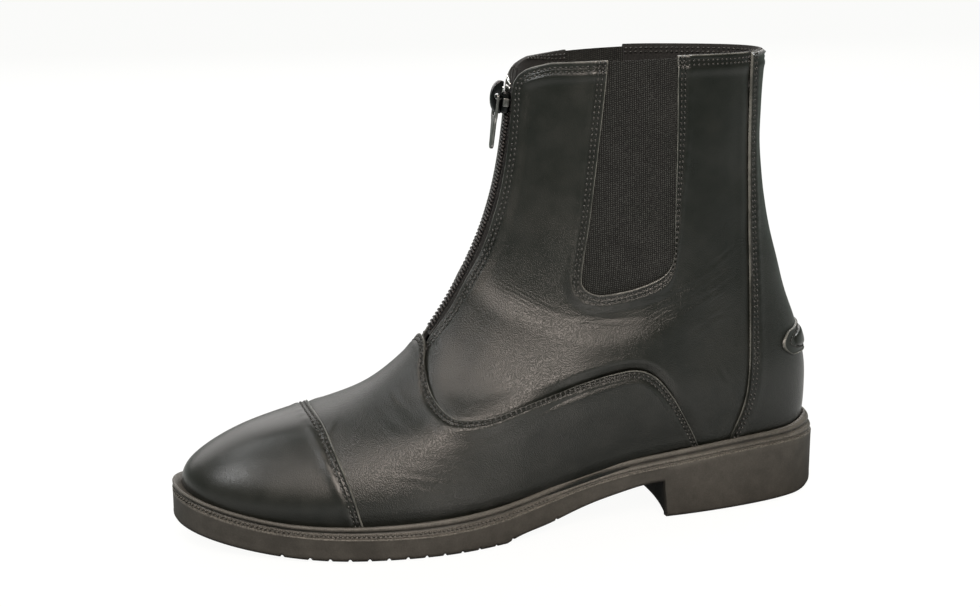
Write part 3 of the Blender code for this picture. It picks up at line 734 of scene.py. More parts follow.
def level_run(start, end, count, level=FOOT):
    """Line at one level from one angle to another."""
    return np.column_stack([np.linspace(start, end, count), np.full(count, level)])


def slopes(angle, level, tiny=1e-4):
    """Point of the last, with its changes per unit of angle and of level."""
    p = last_point(angle, level)
    turned, climbed = last_point(angle + tiny, level), last_point(angle, level + tiny)
    return p, (turned - p) / tiny, (climbed - p) / tiny


def on_front(y, z):
    """Angle and level of the front point with a sideways place y and height z: each step goes to
    where both would fit if the slopes stayed as they are."""
    y, z = np.broadcast_arrays(np.asarray(y, float), np.asarray(z, float))
    level = np.interp(z, LEVELS[4:, 3], np.arange(4, TOP_LEVEL + 1))
    angle = np.pi - y / 14.0
    for _ in range(12):
        p, a, b = slopes(angle, level)
        miss_y, miss_z = y - p[..., 1], z - p[..., 2]
        size = a[..., 1] * b[..., 2] - b[..., 1] * a[..., 2]
        angle = angle + (miss_y * b[..., 2] - miss_z * b[..., 1]) / size
        level = level + (a[..., 1] * miss_z - a[..., 2] * miss_y) / size
    return np.stack([angle, level], -1)


def mirrored(line):
    """The same line on the inner side."""
    return np.column_stack([2 * np.pi - line[:, 0], line[:, 1]])


GORE_SEAM = smooth_line([(107, 200), (107, 188), (109, 166), (113, 129), (116.6, 107), (116.4, 100),
                         (110.5, 96.6), (100, 97.6), (90, 100), (82, 103.8), (78.4, 110), (78, 121),
                         (78, 158), (78.8, 188), (78.8, 200)])
VAMP_SEAM = smooth_line([(175.5, 95), (176.2, 78), (179, 68), (179.2, 58.5), (175.8, 52.8),
                         (169.5, 50.8), (156.5, 52), (138, 57), (120, 62), (104.5, 65), (95, 65.2),
                         (87, 61.4), (79, 52.3), (70, 37.9), (64.5, 28), (61, 21)])
CAP_SEAM = smooth_line([(206, 2), (210.5, 12), (215.4, 28), (218.9, 38), (221.5, 46), (224, 51),
                        (226.5, 60)])
STRIP_SEAM = smooth_line([(43, 200), (42.6, 186), (41.6, 155), (41.3, 124), (41.5, 91), (42.4, 59),
                          (44.6, 44), (51, 28), (54, 21)])
seams = [lay_line(seam) for seam in (GORE_SEAM, VAMP_SEAM, CAP_SEAM, STRIP_SEAM)]
gore_line, vamp_line, cap_line, strip_line = seams
print("seam ends:", [np.round(line[[0, -1]], 2).tolist() for line in seams])

# %% [markdown]
# ## A panel between two lines
# Each leather panel is a sheet stretched between two seam lines, one parameter running along the
# lines and one across. The two lines are matched at a few marked places, as a cutter matches
# notches, so that the sheet doesn't twist. Distances over the sheet, in millimetres, then shape
# its folded edge, the groove under each row of stitches and the puff beside it.

# %% Panel helpers
def travelled(points):
    """Distance of each point of a line from the first, along the line."""
    steps = np.linalg.norm(np.diff(points, axis=0), axis=1)
    return np.concatenate([[0], np.cumsum(steps)])


def read_line(at, far, values):
    """Values of a line read at distances along it."""
    return np.column_stack([np.interp(at, far, column) for column in values.T])


def match(line, places, counts):
    """Line resampled so that marked places, given in side view, fall on set rows; each stretch
    between two places is shared evenly by length."""
    points = last_point(*line.T)
    far = travelled(points)
    stops = [far[np.argmin(np.hypot(points[:, 0] - x, points[:, 2] - z))] for x, z in places]
    stops = [0.0, *stops, far[-1]]
    at = np.concatenate([np.linspace(a, b, n, endpoint=False)
                         for a, b, n in zip(stops[:-1], stops[1:], counts)] + [[stops[-1]]])
    return read_line(at, far, line)


def crowd(count, first, last):
    """Shares from 0 to 1 whose steps shrink towards the ends: even steps bent by two powers."""
    t = np.linspace(0, 1, count)
    return t - first * np.sin(np.pi * t) * (1 - t) * 0.5 + last * np.sin(np.pi * t) * t * 0.5


def stretch_panel(first, second, shares):
    """Panel of straight steps from a first line to a second: angles, levels, points and normals."""
    grid = first[:, None, :] + shares[None, :, None] * (second - first)[:, None, :]
    angle, level = grid[..., 0], grid[..., 1]
    return angle, level, *on_last(angle, level)


def spans(points):
    """Distances over a grid: from its first row, its last row, its first and its last column."""
    down = np.linalg.norm(np.diff(points, axis=0), axis=-1)
    down = np.concatenate([np.zeros((1, points.shape[1])), np.cumsum(down, axis=0)])
    across = np.linalg.norm(np.diff(points, axis=1), axis=-1)
    across = np.concatenate([np.zeros((points.shape[0], 1)), np.cumsum(across, axis=1)], axis=1)
    return down, down[-1:] - down, across, across[:, -1:] - across


def beside(points, seam):
    """Distance in side view from points to the nearest of a seam's samples, in millimetres."""
    flat = points.reshape(-1, 3)
    square = (flat[:, :1] - seam[:, 0]) ** 2 + (flat[:, 2:] - seam[:, 1]) ** 2
    return np.sqrt(square.min(1)).reshape(points.shape[:-1])


def nearest(points, line):
    """Distance from points to the nearest sample of a line on the last, in millimetres."""
    flat, goal = points.reshape(-1, 3), last_point(*line.T)
    square = (flat ** 2).sum(1)[:, None] + (goal ** 2).sum(1) - 2 * flat @ goal.T
    return np.sqrt(np.maximum(square, 0).min(1)).reshape(points.shape[:-1])


def walk(line, distance):
    """Line moved sideways over the last by a distance: three steps, each square to the line, solved
    for angle and level by least squares."""
    for _ in range(3):
        p, a, b = slopes(*line.T)
        side = unit(np.cross(on_last(*line.T)[1], np.gradient(p, axis=0))) * (distance / 3)
        aa, ab, bb = (a * a).sum(1), (a * b).sum(1), (b * b).sum(1)
        sa, sb = (side * a).sum(1), (side * b).sum(1)
        step = np.column_stack([sa * bb - sb * ab, sb * aa - sa * ab])
        line = line + step / (aa * bb - ab * ab)[:, None]
    return line


print("panel helpers ready")

# %% Relief helpers
def smooth(d, low, high):
    """Smooth rise from 0 at low to 1 at high."""
    t = np.clip((d - low) / (high - low), 0, 1)
    return t * t * (3 - 2 * t)


def hump(d, low, full, fading, gone):
    """Smooth rise from 0 at low to 1 at full, and a fall from 1 at fading to 0 at gone."""
    return smooth(d, low, full) * (1 - smooth(d, fading, gone))


def bell(d, middle, half):
    """Bump of height 1 round a middle: exp of minus the squared distance over half."""
    return np.exp(-((d - middle) / half) ** 2)


def roll(d, radius, thick):
    """Drop of a folded edge: a quarter circle over the first radius of distance."""
    return -thick * (1 - np.sqrt(1 - (1 - np.clip(d / radius, 0, 1)) ** 2))


def groove(d, at, depth):
    """Trough of a stitch row: a bell of a depth at a distance."""
    return -depth * bell(d, at, 0.55)


ROWS = (1.8, 3.5)


def sewn(d, along):
    """Relief beside a stitched edge: two troughs with a soft puff between and after them, and small
    puckers that follow the stitches along the edge."""
    pucker = 0.05 * np.sin(along * 2.86 + 1.3 * np.sin(along / 9.0)) * bell(d, 2.6, 1.2)
    pucker += 0.05 * np.sin(along * 1.19 + 2.0 * np.sin(along / 13.0)) * bell(d, 5.6, 1.5)
    return (groove(d, ROWS[0], 0.42) + groove(d, ROWS[1], 0.44) + pucker
            + 0.10 * bell(d, 2.65, 0.5) + 0.24 * bell(d, 5.6, 1.5))


def tucked(d):
    """Relief of leather beside an overlay that is sewn on it: a narrow gutter, then a soft puff."""
    return -0.60 * bell(d, 0.0, 0.9) + 0.20 * bell(d, 4.5, 2.0)


print("stitch rows at", ROWS, "mm from an edge")

# %% [markdown]
# ## Creases
# Leather that has been walked in folds along soft lines: fine wrinkles that climb from the gore's
# foot towards the back strip, others that run down from the zip under the gore, and small folds
# at the ball of the foot. Each is a bowed line in side view that pushes the sheet in along it and
# up beside it. Under the gore a broad fold runs across the ankle. Between them the sheet is never
# quite even.

# %% Creases
CREASES = np.array([
    # start x and z, end x and z, bow, half width, depth
    (88.6, 83.7, 45.0, 102.8, 1.2, 0.9, 0.17),
    (82.3, 74.3, 46.6, 91.4, 1.5, 0.9, 0.16),
    (95.4, 89.8, 48.9, 108.5, 1.8, 0.8, 0.15),
    (76.0, 92.5, 47.0, 97.5, 1.0, 0.7, 0.13),
    (70.0, 84.5, 48.0, 86.0, 1.0, 0.8, 0.14),
    (66.0, 104.0, 47.5, 115.0, 0.8, 0.8, 0.12),
    (151.0, 99.4, 122.0, 85.5, -1.8, 1.0, 0.05),
    (146.2, 94.1, 112.6, 82.6, -2.4, 0.9, 0.06),
    (149.9, 92.2, 126.5, 80.3, -2.0, 0.9, 0.05),
    (136.0, 86.5, 92.0, 84.0, -2.6, 0.9, 0.06),
    (130.0, 81.5, 80.0, 84.5, -4.0, 1.1, 0.06),
    (120.0, 92.0, 108.0, 90.5, -0.6, 0.8, 0.16),
    (96.0, 92.5, 80.0, 96.5, -0.5, 0.8, 0.16),
    (209.0, 36.0, 162.0, 27.0, -0.8, 0.9, 0.15),
    (202.6, 31.2, 170.3, 24.4, -0.6, 0.8, 0.14),
    (196.0, 39.0, 158.0, 32.0, -0.8, 0.8, 0.12),
    (190.0, 25.0, 160.0, 20.5, -0.4, 0.8, 0.13),
    (208.3, 44.2, 205.5, 39.5, 0.3, 0.7, 0.14),
    (204.0, 47.0, 200.5, 41.0, 0.3, 0.7, 0.12),
    (193.0, 60.5, 186.0, 50.0, 1.2, 1.4, 0.22),
    (200.5, 54.5, 190.0, 46.0, 1.0, 1.4, 0.18),
    (58.0, 66.0, 49.0, 52.0, 1.0, 1.3, 0.14),
])


def creases(points):
    """Height of the creases at points: for each bowed line, a trough with a lip on both sides, that
    fades towards the line's ends as the sine of the share along it. Where lines meet the sum is
    held."""
    x, z = points[..., 0], points[..., 2]
    total = np.zeros(x.shape)
    for x0, z0, x1, z1, bow, half, depth in CREASES:
        long = np.hypot(x1 - x0, z1 - z0)
        share = ((x - x0) * (x1 - x0) + (z - z0) * (z1 - z0)) / long ** 2
        away = ((z - z0) * (x1 - x0) - (x - x0) * (z1 - z0)) / long
        inside = np.clip(share, 0, 1)
        d = (away - bow * 4 * inside * (1 - inside)) / (0.85 * half)
        fade = np.sin(np.pi * inside) ** 2
        total += fade * depth * (0.9 * bell(np.abs(d), 1.7, 0.9) - bell(d, 0.0, 1.0))
    return 0.35 * np.tanh(5.5 * total)


def drape(points):
    """Slow unevenness of soft leather: two products of crossed sines over side view."""
    x, z = points[..., 0], points[..., 2]
    broad = np.sin(x / 8.3 + z / 12.7 + 0.6) * np.sin(z / 9.7 - x / 17.0 + 1.1)
    small = np.sin(x / 4.9 - z / 7.9) * np.sin(z / 5.3 + x / 11.3 + 2.0)
    return 0.15 * broad + 0.07 * small


ANKLE = np.array([(60.0, 97.0), (76.0, 92.5), (90.0, 89.0), (104.0, 87.5), (116.0, 88.0),
                  (128.0, 91.0), (138.0, 95.0), (146.0, 98.5), (158.0, 102.5)])


def ankle_fold(points):
    """Broad folds in front of the ankle: a hollow that rises slowly above its line and quickly
    below it, and a softer one that falls from the zip's foot towards the vamp."""
    x, z = points[..., 0], points[..., 2]
    above = z - np.interp(x, ANKLE[:, 0], ANKLE[:, 1])
    shape = 1 - np.where(above > 0, smooth(above, 0.0, 30.0), smooth(-above, 0.0, 12.0))
    total = -1.6 * shape * hump(x, 62.0, 96.0, 148.0, 160.0)
    slanted = (x - 160.5) * 0.83 + (z - 82.0) * 0.55
    lengthwise = (z - 82.0) * 0.83 - (x - 160.5) * 0.55
    return total - 0.65 * bell(slanted, 0.0, 5.5) * (1 - smooth(np.abs(lengthwise), 6.0, 19.0))


print("creases:", len(CREASES))

# %% [markdown]
# ## Stitches
# A row of stitches is one small bent bead of thread repeated along a line. Its ends dip into the
# leather and it leans a little, as a lock stitch does. The beads of a panel are joined into one
# piece, placed by arrays: each has a middle, a direction along the row and a direction out.

# %% Stitch helper
def contour(field, points, normals, at):
    """Points and normals of a grid where a distance that grows over its columns reaches a value."""
    k = np.clip((field < at).sum(1), 1, field.shape[1] - 1)
    i = np.arange(len(field))
    low, high = field[i, k - 1], field[i, k]
    f = np.clip((at - low) / np.maximum(high - low, 1e-9), 0, 1)[:, None]
    keep = field.max(1) > at
    place = points[i, k - 1] * (1 - f) + points[i, k] * f
    out = normals[i, k - 1] * (1 - f) + normals[i, k] * f
    return place[keep], out[keep]


def place_beads(middle, along, side, up, a, b, c):
    """Points of many equal beads: from each middle, a along, b sideways and c up."""
    points = middle[:, None, None]
    for part, way in ((a, along), (b, side), (c, up)):
        points = points + part[..., None] * way[:, None, None]
    return points


def bead_row(place, out, pitch=2.2, length=1.55, radius=0.40, lean=0.16, sink=0.10):
    """Points of a row of thread beads: rings whose size follows a half ellipse along the bead, bent
    so that the ends dip below the middle. The array is beads x rings x corners x 3."""
    far = travelled(place)
    count = int(far[-1] // pitch)
    at = (np.arange(count) + 0.5) * far[-1] / count
    before, after = (read_line(np.clip(at + s, 0, far[-1]), far, place) for s in (-0.6, 0.6))
    up = unit(read_line(at, far, out))
    along = after - before
    along = unit(along - up * (along * up).sum(1, keepdims=True))
    along = along * np.cos(lean) + np.cross(up, along) * np.sin(lean)
    share = np.array([0.0, 0.18, 0.5, 0.82, 1.0])
    turn = np.arange(6) * np.pi / 3
    size = radius * np.sqrt(np.clip(1 - (2 * share - 1) ** 2, 0, 1))
    a = length * (share - 0.5)[:, None] + 0 * turn
    b = size[:, None] * np.cos(turn) * 1.25
    c = size[:, None] * np.sin(turn) + (0.30 * np.sin(np.pi * share) - sink)[:, None]
    return place_beads(read_line(at, far, place), along, np.cross(up, along), up, a, b, c)


def make_beads(name, rows, finish, slot):
    """One piece from several rows of beads; every bead repeats the same faces."""
    beads = np.concatenate(rows)
    rings, corners = beads.shape[1:3]
    starts = np.arange(len(beads)) * rings * corners
    faces = grid_faces(rings, corners, wrap_columns=True) + starts[:, None, None]
    print(name, "has", len(beads), "beads")
    return make_piece(name, beads, faces.reshape(-1, 4), finish, slot, crease=80.0)


print("stitch helpers ready")

# %% [markdown]
# ## Quarters
# A quarter is the leather from the zip round the ankle to the back strip, with a deep bay for the
# gore. Its sheet runs from the gore's edge outwards to a line that follows the zip's edge, dives
# under the vamp, meets the welt, and climbs under the back strip. The collar, the gore's edge and
# the zip's edge are folded and stitched; the hidden edges are only tucked away.

# %% Quarter lines
SLIT_HALF, SLIT_BULGE = 4.4, 1.7
SLIT_CORNER = [(19.5, 190.2), (17.5, 189.2), (14.5, 188.3), (9.5, 186.2), (6.4, 183.6),
               (4.9, 180.8), (SLIT_HALF, 177.5)]
slit_half = SLIT_HALF + SLIT_BULGE * np.sin(np.linspace(0, np.pi, 60)) ** 0.7
slit_side = np.vstack([smooth_line(SLIT_CORNER, 12),
                       np.column_stack([slit_half, np.linspace(176.5, 71.0, 60)])])
zip_edge = keep_run(on_front(*slit_side.T), 1, TOP_LEVEL, 1.0)
under_vamp = lay_line(shift_line(VAMP_SEAM, -5.0))
under_vamp = under_vamp[last_point(*under_vamp.T)[:, 2] < 68.5]
under_strip = lay_line(shift_line(STRIP_SEAM, 5.0))[::-1]
foot_run = level_run(under_vamp[-1, 0], under_strip[0, 0], 40)
quarter_rim = np.vstack([zip_edge, under_vamp, foot_run[1:-1], under_strip])
counts = (120, 32, 60, 32, 46, 44, 116)
gore_side = match(gore_line, [(116.6, 105), (113, 97.2), (101, 97.5), (87, 101.2), (78.6, 109.5),
                              (78, 122)], counts)
rim_side = match(quarter_rim, [(181, 73), (172, 46), (117, 57), (90, 58), (66, 25),
                               (37, 62)], counts)
front_collar = level_run(gore_side[0, 0], zip_edge[0, 0], 60, TOP_LEVEL)
front_rim = match(np.vstack([front_collar[:-1], zip_edge]), [], (600,))
print("zip edge runs from level", np.round(zip_edge[[0, -1], 1], 2))

# %% Quarters
ZIP_ROWS = (2.2, 3.9)


def collar_lift(points):
    """Points with the collar lifted beside the gores: a bell along the boot that fades
    downwards."""
    rise = 1.6 * bell(points[..., 0], 84.0, 34.0) * smooth(points[..., 2], 150.0, 188.0)
    return points + rise[..., None] * np.array([0, 0, 1.0])


def rim_relief(d, z):
    """Height beside the collar and the zip's edge: a rolled rim, two troughs, a soft puff, and
    beside the zip a doubled layer that stands higher."""
    doubled = 1.1 * (1 - smooth(d, 4.5, 9.0)) * hump(z, 88.0, 104.0, 179.0, 189.0)
    troughs = sum(groove(d, at, 0.32) for at in ZIP_ROWS)
    return roll(d, 0.9, 0.55) + doubled + troughs + 0.08 * bell(d, 5.2, 1.6)


def build_quarter(name, first, second, rim):
    """Quarter between the gore's edge and its outer line, with folded edges, stitch troughs, a
    fuller foot where no overlay covers it, gutters along the overlays, and creases. Returns its
    rows of stitches, as points and normals."""
    base, normal = stretch_panel(first, second, crowd(96, 0.7, 0.5))[2:]
    x, z = base[..., 0], base[..., 2]
    end, inside = spans(base)[1:3]
    edge = np.minimum(nearest(base, rim), end)
    free = np.minimum(inside, edge)
    along = np.broadcast_to(spans(base[:, :1])[0], inside.shape)
    from_vamp = beside(base, VAMP_SEAM)
    height = roll(inside, 0.9, 0.55) + sewn(inside, along) + rim_relief(edge, z)
    height += 0.9 * (1 - smooth(z - sole_top(x), 2.0, 16.0)) * smooth(inside, 10.0, 30.0)
    height += tucked(from_vamp) + tucked(beside(base, STRIP_SEAM))
    height += 1.8 * hump(from_vamp, 0.0, 5.0, 5.0, 30.0) * hump(x, 60.0, 90.0, 118.0, 150.0)
    height += (creases(base) + drape(base)) * smooth(free, 1.0, 6.0)
    height += ankle_fold(base) * smooth(inside, 2.0, 9.0)
    outer = collar_lift(lifted(base, normal, height))
    inner = collar_lift(lifted(base, normal, -np.maximum(0.62, 0.1 - height)))
    # The edge mark, 2.2 times the distance to a free edge, sets where the leather is painted paler:
    # wear and a painted highlight.
    piece = make_sheet(name, outer, inner, upper_leather, "leather", np.stack([along, inside], -1),
                       2.2 * free)
    turned, turned_out = (grid.transpose(1, 0, 2)[:, ::-1] for grid in (outer, normal))
    rows = []
    for at, rim_at in zip(ROWS, ZIP_ROWS):
        rows += [contour(inside, outer, normal, at),
                 contour(end.T[:, ::-1], turned, turned_out, rim_at)]
    return piece, rows


def rim_row(line, at):
    """Row of stitches on the doubled rim: points raised by the rim's relief, and their normals."""
    place, out = on_last(*line.T)
    return collar_lift(lifted(place, out, rim_relief(at, place[:, 2]))), out


quarter, rows = build_quarter("quarter_outer", gore_side, rim_side, front_rim)
rows += build_quarter("quarter_inner", mirrored(gore_side), mirrored(rim_side),
                      mirrored(front_rim))[1]
for at in ZIP_ROWS:
    line = walk(front_rim, at)
    rows += [rim_row(line, at), rim_row(mirrored(line), at)]
make_beads("quarter_stitches", [bead_row(*row) for row in rows], thread, "leather")

# %% [markdown]
# ## Vamp, toe cap and back strip
# The vamp is the front of the boot, with two long wings back along the sole. It lies on the
# quarters, and the toe cap lies on it. The back strip covers the heel seam. All three are sheets
# a leather's thickness proud of the last, folded and double stitched along the edge that shows.

# %% Overlay helper
def swell(points, angle, free=99.0):
    """Leaning leather over the outer waist: fuller at the foot and drawn in above it, by a bell
    along the boot."""
    above = points[..., 2] - sole_top(points[..., 0])
    drawn = hump(above, 8.0, 30.0, 32.0, 50.0) * smooth(free, 4.0, 12.0)
    lean = 2.3 * (1 - smooth(above, 2.0, 30.0)) - 1.2 * drawn
    return lean * bell(points[..., 0], 158.0, 42.0) * (np.mod(angle, 2 * np.pi) < np.pi)


def flat_under(d):
    """Underside of an overlay that lies on one layer of leather."""
    return 0.08 + 0 * d


def build_overlay(name, first, second, shares, thick, finish, under=flat_under, both=False,
                  tuck=0.0, soft=1.0, radius=0.9, wear_and_highlight=0.9):
    """Overlay sheet from its folded edge to its far line: raised by thick, its folded edge rolled
    down to the leather below, and with tuck the far line pressed down under its neighbour."""
    angle, level, base, normal = stretch_panel(first, second, shares)
    top, _, inside, outside = spans(base)
    free = np.minimum(np.minimum(inside, outside), top) if both else inside
    along = np.broadcast_to(spans(base[:, :1])[0], inside.shape)
    height = thick + roll(free, radius, thick + 0.25) + sewn(free, along) + swell(base, angle, free)
    height += 0.25 * bell(free, 0.75, 0.42)
    height += soft * (creases(base) + drape(base)) * smooth(free, 1.0, 6.0)
    if tuck:
        above_foot = smooth(level, 0.1, 0.8)
        height -= (thick - 0.75) * (1 - smooth(outside, tuck - 1.2, tuck + 0.6)) * above_foot
        height += tucked(np.abs(outside - tuck)) * above_foot * (outside > tuck - 0.5)
    outer = lifted(base, normal, height)
    inner = lifted(base, normal, np.minimum(under(free), height - 0.05))
    # The edge mark sets where the leather is painted paler along its folded edge: wear and a
    # painted highlight.
    piece = make_sheet(name, outer, inner, finish, "leather", np.stack([along, inside], -1),
                       wear_and_highlight * free)
    rows = [contour(inside, outer, normal, at) for at in ROWS]
    if both:
        rows += [contour(*(grid[:, ::-1] for grid in (outside, outer, normal)), at) for at in ROWS]
    return piece, [bead_row(*row) for row in rows]


def both_sides(half):
    """Line of the outer side up to the ridge, then on down the inner side."""
    return np.vstack([half, mirrored(half[::-1])[1:]])

# %% Vamp
CAP_LAP = 4.5
cap_tuck = lay_line(shift_line(CAP_SEAM, CAP_LAP))
vamp_foot = level_run(vamp_line[-1, 0] + 0.02, cap_tuck[0, 0], 260)
counts = (34, 30, 46, 36, 26, 34)
edge_half = match(vamp_line[::-1], [(79, 52.3), (95, 65.2), (138, 57), (170, 50.8), (179.4, 60)],
                  counts)
rim_half = match(np.vstack([vamp_foot, cap_tuck[1:]]),
                 [(82, 23), (101, 20), (140, 13), (178, 11), (214, 12)], counts)
vamp, rows = build_overlay("vamp_leather", both_sides(edge_half), both_sides(rim_half),
                           crowd(58, 0.8, 0.3), 1.35, upper_leather, tuck=CAP_LAP)

# %% Toe cap
counts = (50, 60)
edge_half = match(cap_line, [(219, 38)], counts)
rim_half = match(level_run(cap_line[0, 0] + 0.01, np.pi, 200), [(252, 14)], counts)
toe_cap, cap_rows = build_overlay("toe_cap_leather", both_sides(edge_half), both_sides(rim_half),
                                  crowd(60, 0.75, 0.2), 1.95, cap_leather,
                                  lambda d: 0.85 - 0.75 * smooth(d, 4.0, 6.5), soft=0.25)

# %% Back strip
strip_half = match(strip_line, [], (170,))
back_strip, strip_rows = build_overlay("back_strip_leather", strip_half, strip_half * (-1, 1),
                                       crowd(64, 0.5, 0.5), 1.05, upper_leather, both=True,
                                       radius=0.45, wear_and_highlight=4.0)
make_beads("overlay_stitches", rows + cap_rows + strip_rows, thread, "leather")

# %% [markdown]
# ## Gores and lining
# The gores are elastic panels let into the quarters' bays, behind the leather's edge. The lining
# is a thinner skin on the inside, seen when looking down into the shaft.

# %% Gores
def build_gore(name, flip):
    """Elastic sheet a little larger than the bay: columns run from the bay's rear edge to its front
    edge, rows from below its foot to the collar, and it lies just under the quarter's leather."""
    lowest = np.argmin(gore_line[:, 1])
    front, rear = gore_line[:lowest][::-1], gore_line[lowest:]
    level = np.linspace(6.75, TOP_LEVEL + 0.02, 120)
    ahead = np.interp(level, front[:, 1], front[:, 0]) + 0.11
    behind = np.interp(level, rear[:, 1], rear[:, 0]) - 0.11
    ahead = np.where(level < 7.5, ahead[np.searchsorted(level, 7.5)], ahead)
    behind = np.where(level < 7.7, behind[np.searchsorted(level, 7.7)], behind)
    wide = np.linspace(0, 1, 60)
    angle = behind[:, None] + (ahead - behind)[:, None] * wide
    if flip:
        angle = 2 * np.pi - angle
    base, normal = on_last(angle, level[:, None])
    top, end, inside = spans(base)[:3]
    height = -0.85 + roll(end, 0.6, 0.3) + groove(end, 1.7, 0.35) + groove(end, 4.2, 0.12)
    height += 0.10 * np.sin(np.pi * wide)[None, :]
    folded = ankle_fold(base) * (1 - smooth(base[..., 2], 98.0, 110.0))
    outer, inner = lifted(base, normal, folded + height), lifted(base, normal, folded - 1.42)
    return make_sheet(name, outer, inner, elastic, "elastic", np.stack([inside, top], -1))


gore_outer = build_gore("gore_elastic_outer", False)
gore_inner = build_gore("gore_elastic_inner", True)

# %% Lining
ridge = np.column_stack([np.full(120, np.pi),
                         np.linspace(on_front(SLIT_HALF, 74.0)[1] - 0.05, FOOT, 120)])
back_line = np.column_stack([np.zeros(120), np.linspace(FOOT, TOP_LEVEL, 120)])
lining_rim = np.vstack([zip_edge, ridge, level_run(np.pi, 0.0, 200)[1:], back_line[1:]])
counts = (60, 40, 50, 40, 60)
gore_rim = match(gore_line, [(116.6, 105), (112, 97), (97, 98.1), (79, 108.5)], counts)
lining_rim = match(lining_rim, [(181, 73), (273.4, 19.6), (140, 13.5), (7.2, 26)], counts)


def build_lining(name, first, second):
    """Thin skin inside the leather, further in beside the gore so that the elastic has room.
    Returns its beads of thread."""
    base, normal = stretch_panel(first, second, crowd(40, 0.5, 0.3))[2:]
    top, end, inside = spans(base)[:3]
    folded = ankle_fold(base) * smooth(inside, 2.0, 9.0)
    near = folded - 0.66 - 0.84 * (1 - smooth(inside, 4.5, 7.0))
    far = folded - 2.2 - roll(np.minimum(np.minimum(top, end), inside), 0.8, 0.4)
    outer, inner = (collar_lift(lifted(base, normal, height)) for height in (near, far))
    along = np.broadcast_to(spans(base[:, -1:])[0], inside.shape)
    make_sheet(name, outer, inner, lining_cloth, "lining", np.stack([along, inside], -1))
    face, inward = inner.transpose(1, 0, 2), -normal.transpose(1, 0, 2)
    rows = [contour(top.T, face, inward, at) for at in ROWS]
    rows += [contour(end.T[:, ::-1], face[:, ::-1], inward[:, ::-1], at) for at in ROWS]
    return [bead_row(*row) for row in rows]


rows = build_lining("lining_outer", gore_rim, lining_rim)
rows += build_lining("lining_inner", mirrored(gore_rim), mirrored(lining_rim))
make_beads("lining_stitches", rows, thread, "lining")

# %% [markdown]
# ## Spur rest
# A moulded pad round the back of the heel keeps a spur from slipping down. It is an oval with a
# thin raised rim, a channel with stitches inside the rim, and a block like the letter D that
# stands out. A square grid is bent into the oval, and the height is the sum of the three.

# %% Spur rest
def on_oval(across, share):
    """Points and normals of the last under the pad: across runs round the heel, share upwards."""
    return on_last(0.55 * across, 3.95 + 0.64 * share + 0.12 * across ** 2)


wide, tall = np.meshgrid(np.linspace(-1, 1, 150), np.linspace(-1, 1, 84), indexing="ij")
across, share = wide * np.sqrt(1 - 0.32 * tall ** 2), tall * np.sqrt(1 - 0.32 * wide ** 2)
base, normal = on_oval(across, share)
from_rim = np.minimum.reduce(spans(base))
block = 1 - np.abs(across / 0.72) ** 3 - np.abs((share + 0.05) / 0.54) ** 4
height = 1.60 + 0.50 * bell(from_rim, 0.75, 0.45) + 1.45 * np.clip(block, 0, 1) ** 0.35
height += roll(from_rim, 0.5, 0.45)
# The raised rim is painted paler through the edge mark: partly wear, partly a painted highlight
# along the rim.
spur_rest = make_sheet("spur_rest_pad", lifted(base, normal, height), lifted(base, normal, 1.20),
                       cap_leather, "leather",
                       edge=np.where(from_rim < 1.6, np.abs(from_rim - 0.7) + 0.2, NO_EDGE))
turn = np.linspace(0, 2 * np.pi, 160)
line, out = on_oval(0.84 * np.cos(turn), 0.80 * np.sin(turn))
row = bead_row(lifted(line, out, 1.65), out, 1.9, 1.3, 0.26)
make_beads("spur_rest_stitches", [row], thread, "leather")

# %% [markdown]
# ## Sole
# The sole is one moulded unit with a low heel. It is a section carried from heel to toe: down the
# outer wall, round a small bevel, across the tread and up the inner wall. Two neighbouring
# sections at the heel's front make the breast, and narrow columns cut the notches in the tread.

# %% Sole heights
ARCH = np.array([(82.4, 15.6), (91, 14.7), (100, 12.7), (112, 9.8), (124, 6.5), (134, 4.0),
                 (152, 0.3), (156, -1.5)])
BREAST_HEEL, BREAST_WAIST, BREAST_HOLLOW = 79.8, 81.3, 5.0
NOTCHES = np.concatenate([[129.7], np.arange(150.2, 233.0, 7.5), [243.0]])
HEEL_GROOVES = np.arange(16.0, 70.0, 7.6)
NOTCH_HALF, GROOVE_HALF = 0.85, 0.9


def tread_height(x):
    """Height of the tread: flat, with a spring at the toe and a rolled heel back."""
    share = np.clip((x / SOLE_LENGTH - 0.76) / 0.24, 0, 1)
    return 8.2 * share ** 2.2 + 2.6 * np.clip(1 - x / 16.0, 0, 1) ** 2


def wall_top(x):
    """Height of the sole wall's top edge: the sole's top, a little lower at the ball."""
    return sole_top(x) - 1.7 * bell(x, 172.0, 38.0)


def bottom_height(x, waist):
    """Height of the underside: the tread, or the arch where the column belongs to the waist."""
    arch = spline(ARCH[:, 0], ARCH[:, 1], np.clip(x, ARCH[0, 0], ARCH[-1, 0]))
    return np.where(waist, np.maximum(arch, 0), tread_height(x))


def cuts(x, places, half):
    """Depth share of narrow cuts: 1 at each place, falling to 0 at a half width beside it."""
    return 1 - smooth(np.abs(x[:, None] - places[None, :]).min(1), 0.3 * half, half)

